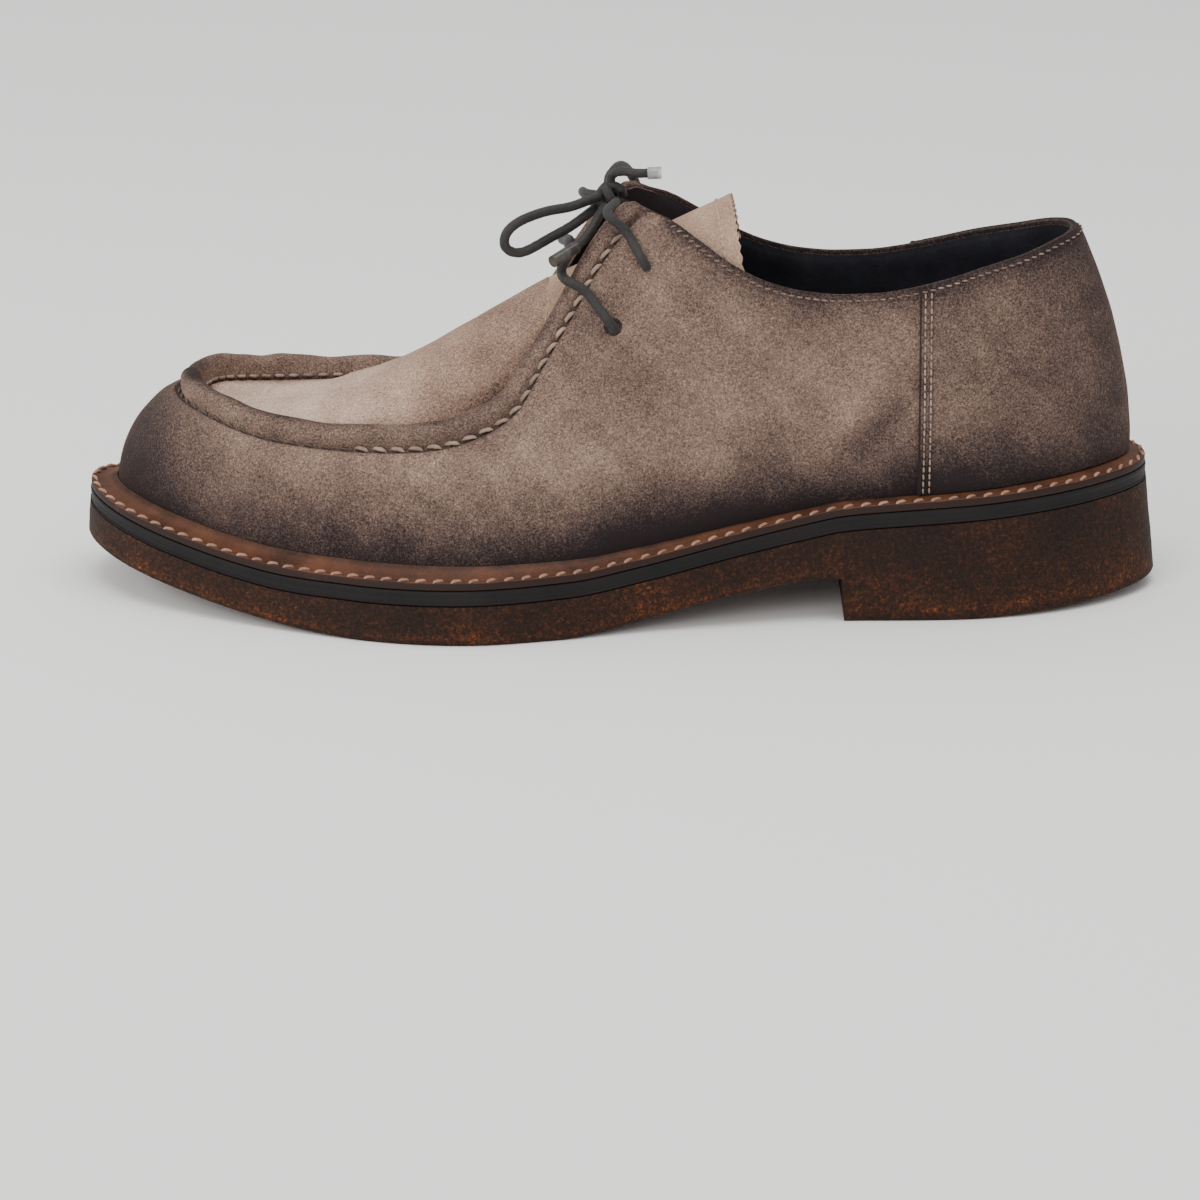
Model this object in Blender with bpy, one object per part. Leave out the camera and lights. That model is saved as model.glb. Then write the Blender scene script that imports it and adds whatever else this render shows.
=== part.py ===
"""Moccasin-toe derby shoe for the left foot, standing on its sole.

Metres, +Z up. The toe points to -X and the heel to +X, the outer side of the foot to -Y and the
inner side to +Y. The origin is on the floor under the middle of the sole's box.
"""
import math

import bpy
import numpy as np

# Driving dimensions, metres
SOLE_LENGTH = 0.305
BALL_WIDTH = 0.109
HEEL_WIDTH = 0.075
TOE_SWING = 0.005          # how far the toe tip lies to the inner side of the heel's centre line
TOE_SPRING = 0.0135        # height of the sole's underside at the toe tip
BREAST_HEIGHT = 0.0125     # height of the heel's front face
BREAST_SLOPE = 0.0008      # how far that face leans
HEEL_BEVEL = 0.0035        # lift of the underside at the back of the heel
FOREPART_STACK = 0.018     # floor to welt at the ball
HEEL_STACK = 0.0344        # floor to welt at the middle of the heel
WELT_THICKNESS = 0.0022
WELT_WIDTH = 0.0073        # flat width of the welt at the toe
WELT_LIP = 0.0027          # how far the welt's inner lip stands above its edge at the ball
MIDSOLE_THICKNESS = 0.0042
MIDSOLE_INSET = 0.0009     # the midsole's edge lies in from the outsole's
WELT_INSET = 0.0012
OUTSOLE_TAPER = 0.0007     # the outsole's side leans in by this up to its top edge
OUTSOLE_BEVEL = 0.0008     # worn bottom edge of the outsole
HEEL_LEAN = 0.0024         # more of the same lean at the back of the heel
WALL = 0.002               # suede and lining together
APRON_WALL = 0.002
COUNTER_THICKNESS = 0.0012
COUNTER_SEAM_SHARE = 0.77  # where the counter's front edges stand, from the toe
INSOLE_THICKNESS = 0.003
TONGUE_THICKNESS = 0.002
FACING_HEIGHT = 0.1124     # top of the seam line at the facings' top corners
TOPLINE_LOW = 0.0908       # lowest point of the collar
BACK_HEIGHT = 0.1045       # collar at the back of the heel
APRON_HEIGHT = 0.0504      # seam line beside the ball of the foot
INSTEP_HEIGHT = 0.0905     # top of the apron where the tongue begins
TONGUE_HEIGHT = 0.1133     # top of the tongue's free end
ROLL_WIDTH = 0.0062        # rolled seam round the apron
ROLL_HEIGHT = 0.0052
FACING_ROLL_WIDTH = 0.0052  # the same seam beside the tongue
FACING_ROLL_HEIGHT = 0.0024
GAP = 0.0003               # room between pieces that touch

# Half widths of the sole each side of its centre line, by share of the length from the toe tip, as
# shares of the ball width in the forepart and of the heel width behind the arch
OUTLINE = (
    ("share", "outer", "inner"),
    (0.0, 0.0, 0.0),
    (0.0066, 0.088, 0.092),
    (0.028, 0.174, 0.1835),
    (0.0656, 0.260, 0.277),
    (0.1, 0.312, 0.339),
    (0.166, 0.394, 0.420),
    (0.231, 0.466, 0.4585),
    (0.297, 0.523, 0.458),
    (0.336, 0.5385, 0.4395),
    (0.375, 0.5375, 0.412),
    (0.425, 0.510, 0.369),
    (0.511, 0.466, 0.310),
    (0.615, 0.497, 0.342),
    (0.73, 0.505, 0.453),
    (0.828, 0.487, 0.493),
    (0.877, 0.443, 0.459),
    (0.926, 0.360, 0.376),
    (0.959, 0.271, 0.285),
    (0.982, 0.181, 0.191),
    (1.0, 0.0, 0.0),
)
SWING_END = 0.25           # the centre line is straight behind this share of the length
ARCH_START = 0.45          # from here to ARCH_END the width passes from ball to heel
ARCH_END = 0.7

# Toe spring of the sole, as shares of TOE_SPRING
SPRING = (
    ("share", "lift"),
    (0.0, 1.0), (0.028, 0.815), (0.067, 0.62), (0.1, 0.467), (0.133, 0.32), (0.166, 0.2),
    (0.198, 0.104), (0.231, 0.037), (0.27, 0.0), (1.0, 0.0),
)
# Underside of the shank, as shares of BREAST_HEIGHT
SHANK = (
    ("share", "lift"),
    (0.0, 0.0), (0.441, 0.0), (0.48, 0.1), (0.516, 0.27), (0.572, 0.58), (0.615, 0.78),
    (0.68, 0.98), (1.0, 1.0),
)
BREAST_SHARE = 0.7016
BEVEL_START = 0.81
# Top of the sole: how thick the forepart's stack is, and how far it has risen to the heel's
STACK = (
    ("share", "thick", "rise"),
    (0.0, 0.917, 0.0), (0.1, 0.90, 0.0), (0.166, 0.911, 0.0), (0.264, 1.0, 0.0),
    (0.395, 1.0, 0.02), (0.457, 1.0, 0.055), (0.511, 1.0, 0.19), (0.605, 1.0, 0.555),
    (0.67, 1.0, 0.79), (0.705, 1.0, 0.915), (0.759, 1.0, 1.0), (0.831, 1.0, 1.085),
    (0.897, 1.0, 1.17), (0.952, 1.0, 1.22), (1.0, 1.0, 1.24),
)
# Flat width of the welt and the height of its inner lip, as shares of WELT_WIDTH and WELT_LIP
WELT = (
    ("share", "width", "lip"),
    (0.0, 1.0, 0.93), (0.3, 0.91, 1.0), (0.46, 0.85, 0.75), (0.6, 0.77, 0.3),
    (0.8, 0.75, 0.15), (0.93, 0.9, 0.3), (1.0, 1.12, 0.5),
)

# The wall's upper end round the foot, by the station that its foot stands at: the seam line of the
# apron as far as the facings' top corners, and behind them the line that the smooth wall would
# reach if no collar were cut. x is a share of the length, half and centre are shares of the ball
# width, and z is a share of FACING_HEIGHT above APRON_HEIGHT
WALL_TOP = (
    ("share", "x", "half", "centre", "z"),
    (0.0, 0.0902, 0.0, 0.037, 0.089),
    (0.02, 0.0974, 0.092, 0.035, 0.087),
    (0.0656, 0.118, 0.179, 0.028, 0.073),
    (0.11, 0.1459, 0.241, 0.018, 0.045),
    (0.166, 0.182, 0.289, 0.007, 0.019),
    (0.231, 0.236, 0.323, -0.003, 0.003),
    (0.297, 0.2984, 0.335, -0.009, 0.0),
    (0.345, 0.3443, 0.326, -0.009, 0.021),
    (0.38, 0.377, 0.303, -0.008, 0.073),
    (0.405, 0.4033, 0.2735, -0.006, 0.153),
    (0.43, 0.422, 0.243, -0.004, 0.297),
    (0.457, 0.441, 0.2135, -0.002, 0.454),
    (0.485, 0.4607, 0.1835, 0.0, 0.617),
    (0.515, 0.4852, 0.1505, 0.0, 0.816),
    (0.543, 0.518, 0.1174, 0.0, 0.992),
    (0.565, 0.5443, 0.1156, 0.0, 1.056),
    (0.61, 0.5885, 0.142, 0.0, 1.08),
    (0.67, 0.6459, 0.165, 0.0, 1.064),
    (0.75, 0.7197, 0.175, 0.0, 1.016),
    (0.83, 0.7918, 0.165, 0.0, 0.984),
    (0.9, 0.8508, 0.133, 0.0, 0.96),
    (0.96, 0.8918, 0.081, 0.0, 0.944),
    (1.0, 0.9082, 0.0, 0.0, 0.936),
)
# How the wall rises between its foot and that line: the lower handle's height as a share of the
# wall's, how far it swells out on each side, and the upper handle's reach out and its drop. The
# three reaches are shares of the ball width
SECTION = (
    ("share", "rise", "outer", "inner", "shoulder", "drop"),
    (0.0, 0.42, 0.003, 0.003, 0.106, 0.03),
    (0.1, 0.41, 0.007, 0.007, 0.100, 0.05),
    (0.2, 0.42, 0.012, 0.012, 0.096, 0.10),
    (0.3, 0.40, 0.014, 0.014, 0.088, 0.13),
    (0.38, 0.38, 0.018, 0.02, 0.082, 0.14),
    (0.45, 0.36, 0.026, 0.045, 0.088, 0.14),
    (0.515, 0.35, 0.028, 0.07, 0.098, 0.145),
    (0.6, 0.35, 0.032, 0.08, 0.082, 0.20),
    (0.7, 0.35, 0.036, 0.06, 0.05, 0.30),
    (0.85, 0.35, 0.028, 0.03, 0.055, 0.28),
    (0.93, 0.35, 0.015, 0.015, 0.074, 0.26),
    (1.0, 0.35, 0.005, 0.005, 0.092, 0.25),
)
THROAT_SHARE = 0.457       # station where the apron ends and the tongue begins
CORNER_SHARE = 0.543       # station of the facings' top corners
# Collar line: how far it has risen above TOPLINE_LOW, as a share of the way to FACING_HEIGHT in
# front of its lowest point and of the way to BACK_HEIGHT behind it
LOWEST_SHARE = 0.70
TOPLINE = (
    ("share", "rise"),
    (0.50, 1.04), (0.516, 1.01), (0.539, 0.92), (0.5715, 0.64), (0.6036, 0.347),
    (0.636, 0.144), (0.667, 0.04), (0.70, 0.0), (0.7325, 0.021), (0.761, 0.109),
    (0.795, 0.277), (0.828, 0.481), (0.867, 0.697), (0.90, 0.924), (0.9164, 1.0), (1.0, 1.053),
)
# Centre line of the apron from its front edge to the tongue: z as a share between APRON_HEIGHT and
# INSTEP_HEIGHT
CROWN = (
    ("share", "z"),
    (0.11, 0.02), (0.16, 0.03), (0.205, 0.085), (0.24, 0.175), (0.28, 0.30), (0.3066, 0.40),
    (0.35, 0.597), (0.392, 0.78), (0.425, 0.91), (0.4475, 1.0), (0.5, 1.2),
)
TONGUE_END_SHARE = 0.6     # free end of the tongue
TONGUE_END_HALF = 0.0192   # half its width there
TONGUE_END_SHIFT = 0.0016  # how far it leans to the outer side there
TONGUE_END_DROP = 0.0165   # how far its sides hang below its middle there
TONGUE_END_SWEEP = 0.0032  # how far its corners lie behind the middle of its end

# Lace, metres. The runs start at the eyelets, cross the rolled edge and then follow these points
LACE = 0.0028
AGLET = 0.0034
EYELETS = {"lower": (0.492, 0.0825), "upper": (0.521, 0.0984)}   # share of the length, height
CROSSINGS = {"lower": 0.491, "upper": 0.529}   # stations where the runs cross the seam line
LOWER_MIDDLE = ((-0.0146, -0.0015, 0.0985), (-0.0148, 0.0042, 0.0990), (-0.0146, 0.0099, 0.0985))
KNOT = (-0.0027, 0.0032, 0.1129)
KNOT_RADII = (0.0048, 0.0042, 0.0036)
KNOT_SEAT = 0.0011         # room between the knot and what enters it
KNOT_ENTRY = (0.0010, 0.0, -0.0009)   # the two runs enter the knot this far from its middle
NEAR_LOOP = (
    (-0.0052, 0.0022, 0.1132),
    (-0.0090, -0.0006, 0.1127), (-0.0143, -0.0034, 0.1115), (-0.0199, -0.0056, 0.1110),
    (-0.0248, -0.0076, 0.1100), (-0.0295, -0.0096, 0.1081), (-0.0322, -0.0106, 0.1051),
    (-0.0322, -0.0106, 0.1020), (-0.0296, -0.0098, 0.1001), (-0.0249, -0.0078, 0.1008),
    (-0.0199, -0.0058, 0.1032), (-0.0143, -0.0034, 0.1058), (-0.0100, -0.0004, 0.1082),
    (-0.0060, 0.0034, 0.1104),
)
FAR_LOOP = (
    (-0.0030, 0.0048, 0.1142),
    (-0.0036, 0.0072, 0.1164), (-0.0026, 0.0104, 0.1178), (-0.0010, 0.0150, 0.1184),
    (0.0008, 0.0198, 0.1172), (0.0030, 0.0246, 0.1134), (0.0046, 0.0286, 0.1084),
    (0.0040, 0.0316, 0.1044), (0.0002, 0.0322, 0.1022), (-0.0046, 0.0296, 0.1030),
    (-0.0086, 0.0248, 0.1062), (-0.0104, 0.0198, 0.1094), (-0.0108, 0.0148, 0.1112),
    (-0.0098, 0.0096, 0.1120),
    (-0.0058, 0.0056, 0.1124),
)
NEAR_END = (
    (-0.0043, 0.0004, 0.1108), (-0.0067, -0.0037, 0.1083), (-0.0085, -0.0070, 0.1058),
    (-0.0104, -0.0096, 0.1040), (-0.0124, -0.0118, 0.1023),
)
NEAR_AGLET = (-0.0190, -0.0188, 0.0999)
FAR_END = (
    (-0.0027, 0.0031, 0.1146), (-0.0027, 0.0030, 0.1188), (0.0004, 0.0014, 0.1204),
    (0.0040, 0.0002, 0.1202), (0.0068, 0.0002, 0.1202),
)
FAR_AGLET = (0.0111, 0.0002, 0.1203)
LACE_COLOUR = (0.045, 0.038, 0.035)

# Numbers of facets
TOE_COLUMNS = 5
SIDE_COLUMNS = 14
FACING_COLUMNS = 5
QUARTER_COLUMNS = 15
WALL_ROWS = 8
ROLL_ROWS = 6
COUNTER_ROWS = 7
COUNTER_COLUMNS = 9
TONGUE_ROWS = 8
TONGUE_COLUMNS = 10
LACE_STEP = 2.0            # lace diameters between a tube's rings


def named(table, name):
    column = table[0].index(name)
    return np.array([row[column] for row in table[1:]], float)


def station(share):
    """Place along the ring, 0 at the toe tip and 1 at the heel, for a share of the length."""
    return np.arccos(np.clip(1 - 2 * np.asarray(share, float), -1, 1)) / math.pi


def spline(xs, ys):
    """Smooth curve through a table's points."""
    size, step = len(xs), np.diff(xs)
    matrix, right = np.eye(size), np.zeros(size)
    for i in range(1, size - 1):
        matrix[i, i - 1:i + 2] = step[i - 1], 2 * (step[i - 1] + step[i]), step[i]
        right[i] = 6 * ((ys[i + 1] - ys[i]) / step[i] - (ys[i] - ys[i - 1]) / step[i - 1])
    bend = np.linalg.solve(matrix, right)

    def at(x):
        x = np.clip(np.asarray(x, float), xs[0], xs[-1])
        i = np.clip(np.searchsorted(xs, x, side="right") - 1, 0, size - 2)
        a, b, h = xs[i + 1] - x, x - xs[i], step[i]
        return ((bend[i] * a ** 3 + bend[i + 1] * b ** 3) / (6 * h)
                + (ys[i] / h - bend[i] * h / 6) * a + (ys[i + 1] / h - bend[i + 1] * h / 6) * b)
    return at


def steady(xs, ys):
    """Curve through a table's points that never overshoots them."""
    step = np.diff(xs)
    rate = np.diff(ys) / step
    slope = np.concatenate([[rate[0]], np.zeros(len(xs) - 2), [rate[-1]]])
    for i in range(1, len(xs) - 1):
        if rate[i - 1] * rate[i] > 0:
            slope[i] = 2 * rate[i - 1] * rate[i] / (rate[i - 1] + rate[i])

    def at(x):
        x = np.clip(np.asarray(x, float), xs[0], xs[-1])
        i = np.clip(np.searchsorted(xs, x, side="right") - 1, 0, len(xs) - 2)
        h = step[i]
        u = (x - xs[i]) / h
        return (ys[i] * (1 + 2 * u) * (1 - u) ** 2 + slope[i] * h * u * (1 - u) ** 2
                + ys[i + 1] * u * u * (3 - 2 * u) + slope[i + 1] * h * u * u * (u - 1))
    return at


def ring_curve(table, name):
    return spline(station(named(table, "share")), named(table, name))


def length_curve(table, name):
    return steady(named(table, "share"), named(table, name))


def ease(low, high, value):
    u = np.clip((value - low) / (high - low), 0, 1)
    return u * u * (3 - 2 * u)


OUTER, INNER = ring_curve(OUTLINE, "outer"), ring_curve(OUTLINE, "inner")
WELT_FLAT, LIP = ring_curve(WELT, "width"), ring_curve(WELT, "lip")
TOP = {name: ring_curve(WALL_TOP, name) for name in ("x", "half", "centre", "z")}
HANDLE = {name: ring_curve(SECTION, name) for name in SECTION[0][1:]}
LIFT, ARCH = length_curve(SPRING, "lift"), length_curve(SHANK, "lift")
THICK, RISE = length_curve(STACK, "thick"), length_curve(STACK, "rise")
COLLAR, APRON_LINE = length_curve(TOPLINE, "rise"), length_curve(CROWN, "z")


def folded(w, side):
    """A place past the toe or heel tip comes back on the other side."""
    w, side = np.broadcast_arrays(np.asarray(w, float), np.asarray(side, float))
    past = (w < 0) | (w > 1)
    return np.where(w < 0, -w, np.where(w > 1, 2 - w, w)), np.where(past, -side, side)


def share_of(x):
    return np.asarray(x) / SOLE_LENGTH + 0.5


def raw_outline(w, side):
    w, side = folded(w, side)
    share = (1 - np.cos(math.pi * w)) / 2
    unit = BALL_WIDTH + (HEEL_WIDTH - BALL_WIDTH) * ease(ARCH_START, ARCH_END, share)
    centre = TOE_SWING * np.clip(1 - share / SWING_END, 0, 1) ** 2
    half = np.where(side < 0, OUTER(w), INNER(w)) * unit
    return np.stack([(share - 0.5) * SOLE_LENGTH, centre + side * half], -1)


# The sole's box is centred on the origin
SAMPLES = np.linspace(0, 1, 400)
MID_Y = (raw_outline(SAMPLES, -1)[:, 1].min() + raw_outline(SAMPLES, 1)[:, 1].max()) / 2
STEP = 1e-4


def outline(w, side, inset=0.0):
    """Plan point on the sole's outline, moved in by inset."""
    here = raw_outline(w, side)
    along = raw_outline(np.asarray(w) + STEP, side) - raw_outline(np.asarray(w) - STEP, side)
    along /= np.linalg.norm(along, axis=-1, keepdims=True)
    inward = np.stack([-along[..., 1], along[..., 0]], -1) * -np.asarray(side, float)[..., None]
    moved = here + inward * np.asarray(inset)[..., None]
    return moved - np.array([0.0, MID_Y]), inward


def underside(x):
    share = share_of(x)
    shank = TOE_SPRING * LIFT(share) + BREAST_HEIGHT * ARCH(share)
    heel = HEEL_BEVEL * np.clip((share - BEVEL_START) / (1 - BEVEL_START), 0, 1) ** 1.5
    return np.where(share <= BREAST_SHARE + 1e-6, shank, heel)


def welt_top(x):
    share = share_of(x)
    return (TOE_SPRING * LIFT(share) + FOREPART_STACK * THICK(share)
            + (HEEL_STACK - FOREPART_STACK) * RISE(share))


def midsole_top(x):
    return welt_top(x) - WELT_THICKNESS - GAP


def lean(w):
    w, _ = folded(w, 1)
    return HEEL_LEAN * ease(float(station(0.84)), 1.0, w)


def foot_inset(w):
    w, _ = folded(w, 1)
    return WELT_INSET + WELT_WIDTH * WELT_FLAT(w) + GAP


def lip_height(x, w):
    w, _ = folded(w, 1)
    return welt_top(x) + WELT_LIP * LIP(w)


def with_height(plan, height):
    return np.concatenate([plan, np.asarray(height)[..., None]], -1)


def handles(w, side):
    """The four points that a column of the wall is drawn through, foot first."""
    w, side = folded(w, side)
    plan, inward = outline(w, side, foot_inset(w))
    foot = with_height(plan, midsole_top(plan[..., 0]) + GAP)
    top = np.stack([
        (TOP["x"](w) - 0.5) * SOLE_LENGTH,
        (TOP["centre"](w) + side * TOP["half"](w)) * BALL_WIDTH - MID_Y,
        APRON_HEIGHT + (FACING_HEIGHT - APRON_HEIGHT) * TOP["z"](w)], -1)
    out = with_height(-inward, np.zeros(inward.shape[:-1]))
    tall = (top[..., 2] - foot[..., 2])[..., None]
    swell = np.where(side < 0, HANDLE["outer"](w), HANDLE["inner"](w))[..., None]
    up = np.array([0.0, 0.0, 1.0])
    low = foot + up * tall * HANDLE["rise"](w)[..., None] + out * swell * BALL_WIDTH
    high = (top - up * tall * HANDLE["drop"](w)[..., None]
            + out * HANDLE["shoulder"](w)[..., None] * BALL_WIDTH)
    return foot, low, high, top


def wall(w, side, t):
    """Point on the outer face of the wall, t from 0 at its foot to 1 at its upper end."""
    a, b, c, d = handles(w, side)
    t = np.asarray(t, float)[..., None]
    s = 1 - t
    return a * s ** 3 + 3 * b * s * s * t + 3 * c * s * t * t + d * t ** 3


def unit(vectors):
    return vectors / np.linalg.norm(vectors, axis=-1, keepdims=True)


def wall_frame(w, side, t):
    """Point on the wall, the direction up its face, and the direction out of it."""
    w, side, t = np.broadcast_arrays(np.asarray(w, float), side, t)
    here = wall(w, side, t)
    along = unit(wall(w + STEP, side, t) - wall(w - STEP, side, t))
    up = wall(w, side, t + STEP) - wall(w, side, t - STEP)
    up = unit(up - along * (up * along).sum(-1, keepdims=True))
    out = np.cross(along, up) * -np.asarray(side, float)[..., None]
    return here, up, unit(out)


def on_wall(w, side, t, up_by, out_by):
    here, up, out = wall_frame(w, side, t)
    return here + up * np.asarray(up_by)[..., None] + out * np.asarray(out_by)[..., None]


def solve(test):
    """Where test, an array function of t, changes from negative to positive."""
    low, high = np.zeros(test(0.5).shape), np.ones(test(0.5).shape)
    for _ in range(30):
        middle = (low + high) / 2
        above = test(middle) > 0
        high, low = np.where(above, middle, high), np.where(above, low, middle)
    return (low + high) / 2


def collar_end(w, side):
    """Share of the wall's height at which the collar cuts it."""
    w, side = np.broadcast_arrays(np.asarray(w, float), np.asarray(side, float))

    def over(t):
        here = wall(w, side, np.broadcast_to(t, w.shape))
        share = share_of(here[..., 0])
        full = np.where(share > LOWEST_SHARE, BACK_HEIGHT, FACING_HEIGHT) - TOPLINE_LOW
        return here[..., 2] - TOPLINE_LOW - full * COLLAR(share)
    return solve(over)


def at_height(w, side, height):
    """Share of the wall's height at which it passes a level."""
    w, side = np.broadcast_arrays(np.asarray(w, float), np.asarray(side, float))
    return solve(lambda t: wall(w, side, np.broadcast_to(t, w.shape))[..., 2] - height)


THROAT, CORNER, TOE_CORNER = (float(station(s)) for s in (THROAT_SHARE, CORNER_SHARE, 0.06))


def roll_size(w):
    """Width and height of the rolled seam, and how deep the apron lies behind it."""
    facing = ease(float(station(0.38)), THROAT, w)
    past = ease(THROAT, THROAT + 0.015, w)
    height = ROLL_HEIGHT + (FACING_ROLL_HEIGHT - ROLL_HEIGHT) * facing
    width = ROLL_WIDTH + (FACING_ROLL_WIDTH - ROLL_WIDTH) * facing
    return width, height, ROLL_HEIGHT * (0.36 - 0.18 * past)


def ring_stations():
    """Stations from toe to heel, the same on both sides."""
    parts = [np.linspace(0, TOE_CORNER, TOE_COLUMNS + 1),
             np.linspace(TOE_CORNER, THROAT, SIDE_COLUMNS + 1)[1:],
             np.linspace(THROAT, CORNER, FACING_COLUMNS + 1)[1:],
             np.linspace(CORNER + 0.003, 1, QUARTER_COLUMNS + 1)]
    return np.concatenate(parts)


def around(stations):
    """Ring of columns: from the heel up the outer side to the toe, and back on the inner side."""
    outer = [(w, -1.0) for w in stations[::-1]]
    inner = [(w, 1.0) for w in stations[1:-1]]
    ring = np.array(outer + inner)
    return ring[:, 0], ring[:, 1]


def new_object(name, points, faces, colour, roughness):
    mesh = bpy.data.meshes.new(name)
    mesh.from_pydata([tuple(map(float, p)) for p in points], [], faces)
    mesh.update()
    mesh.shade_smooth()
    mesh.set_sharp_from_angle(angle=math.radians(40))
    made = bpy.data.objects.new(name, mesh)
    made.data.materials.append(finish(name, colour, roughness))
    bpy.context.collection.objects.link(made)
    return made


def finish(name, colour, roughness):
    material = bpy.data.materials.new(name)
    material.use_nodes = True
    shader = material.node_tree.nodes["Principled BSDF"]
    shader.inputs["Base Color"].default_value = (*colour, 1.0)
    shader.inputs["Roughness"].default_value = roughness
    shader.inputs["Metallic"].default_value = 0.0
    return material


def ring_faces(rows, columns, closed=False):
    """Quads between rings that follow one another inwards over the top."""
    faces = []
    for r in range(rows if closed else rows - 1):
        a, b = r * columns, (r + 1) % rows * columns
        for c in range(columns):
            d = (c + 1) % columns
            faces.append((a + c, b + c, b + d, a + d))
    return faces


def cap_faces(first, columns, up):
    """Strips across a ring, from the toe to the heel."""
    toe, faces = columns // 2, []
    for k in range(toe):
        ends = [first + toe - k, first + toe - k - 1,
                first + (toe + k + 1) % columns, first + (toe + k) % columns]
        ends = [p for i, p in enumerate(ends) if p not in ends[:i]]
        faces.append(tuple(ends if up else ends[::-1]))
    return faces


def slab(name, rings, colour, roughness):
    """Closed solid from rings that run from its bottom edge to its top edge."""
    columns = len(rings[0])
    faces = ring_faces(len(rings), columns)
    faces += cap_faces(0, columns, False) + cap_faces((len(rings) - 1) * columns, columns, True)
    return new_object(name, np.concatenate(rings), faces, colour, roughness)


def level_ring(stations, inset, height):
    """Ring at an inset from the outline, at a height worked out from x."""
    w, side = around(stations)
    plan, _ = outline(w, side, inset + lean(w))
    return with_height(plan, height(plan[:, 0]))


def outsole():
    breast = [float(station(BREAST_SHARE)), float(station(BREAST_SHARE + BREAST_SLOPE / SOLE_LENGTH))]
    near = [w for w in ring_stations() if min(abs(w - b) for b in breast) > 0.006]
    stations = np.array(sorted(near + breast))
    w, side = around(stations)

    def lifted(by):
        plan, _ = outline(w, side, np.full(w.shape, OUTSOLE_BEVEL - by))
        flat, _ = outline(w, side)
        return with_height(plan, underside(flat[:, 0]) + by)

    top = level_ring(stations, OUTSOLE_TAPER,
                     lambda x: midsole_top(x) - MIDSOLE_THICKNESS - GAP)
    slab("outsole", [lifted(0.0), lifted(OUTSOLE_BEVEL), top], (0.045, 0.018, 0.009), 0.75)


def midsole():
    stations = ring_stations()
    slab("midsole", [
        level_ring(stations, MIDSOLE_INSET, lambda x: midsole_top(x) - MIDSOLE_THICKNESS),
        level_ring(stations, MIDSOLE_INSET, midsole_top)], (0.022, 0.017, 0.016), 0.45)


def welt():
    """Strip round the foot: flat outside, with a lip that rises against the wall."""
    w, side = around(ring_stations())
    edge = WELT_INSET + lean(w)
    flat = foot_inset(w) - edge - GAP

    def ring(inset, height):
        plan, _ = outline(w, side, inset)
        return with_height(plan, height(plan[:, 0]))

    lip_level = lip_height(outline(w, side, foot_inset(w))[0][:, 0], w)
    lip = on_wall(w, side, at_height(w, side, lip_level), 0.0, GAP * 1.3)
    base = outline(w, side, foot_inset(w) - GAP)[0]
    slope = outline(w, side, edge + flat * 0.72)[0]
    rings = [
        with_height(base, midsole_top(base[:, 0]) + GAP),
        ring(edge, lambda x: midsole_top(x) + GAP),
        ring(edge, lambda x: welt_top(x) - WELT_THICKNESS * 0.25),
        ring(edge + WELT_THICKNESS * 0.25, welt_top),
        ring(edge + flat * 0.45, lambda x: welt_top(x) + WELT_LIP * 0.2 * LIP(w)),
        with_height(slope, (welt_top(slope[:, 0]) + lip_level) / 2 + WELT_LIP * 0.1 * LIP(w)),
        lip,
    ]
    faces = ring_faces(len(rings), len(w), closed=True)
    new_object("welt", np.concatenate(rings), faces, (0.25, 0.11, 0.05), 0.6)


def insole():
    w, side = around(ring_stations())
    inset = foot_inset(w) + WALL + GAP
    plan, _ = outline(w, side, inset)
    low = midsole_top(plan[:, 0]) + GAP
    foot, _, out = wall_frame(w, side, at_height(w, side, low + INSOLE_THICKNESS))
    above = foot - out * (WALL + GAP * 1.5)
    above[:, 2] = low + INSOLE_THICKNESS
    slab("insole", [with_height(plan, low), above], (0.02, 0.02, 0.023), 0.5)


def seam_base(w, side):
    """Foot of the rolled seam on its inner side, where the apron starts."""
    width, _, deep = roll_size(w)
    return on_wall(w, side, np.ones_like(w), width, -deep)


def apron_grid(outer, inner, front, sink):
    """Rows from the toe to the throat, each from the outer side to the inner side."""
    rows, columns = len(outer), len(front)
    rear = outer[-1] + (inner[-1] - outer[-1]) * np.linspace(0, 1, columns)[:, None]
    u = np.linspace(0, 1, rows)[:, None, None]
    v = np.linspace(0, 1, columns)[None, :, None]
    across = outer[:, None] * (1 - v) + inner[:, None] * v
    along = front[None] * (1 - u) + rear[None] * u
    corners = ((front[0] * (1 - v) + front[-1] * v) * (1 - u)
               + (rear[0] * (1 - v) + rear[-1] * v) * u)
    grid = across + along - corners
    middle = grid[:, columns // 2]
    line = APRON_HEIGHT + (INSTEP_HEIGHT - APRON_HEIGHT) * APRON_LINE(share_of(middle[:, 0])) - sink
    bump = (line - middle[:, 2]) * ease(0.0, 0.35, np.linspace(0, 1, rows))
    grid[..., 2] += bump[:, None] * (1 - np.abs(2 * v[..., 0] - 1) ** 2.2)
    return grid


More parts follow.
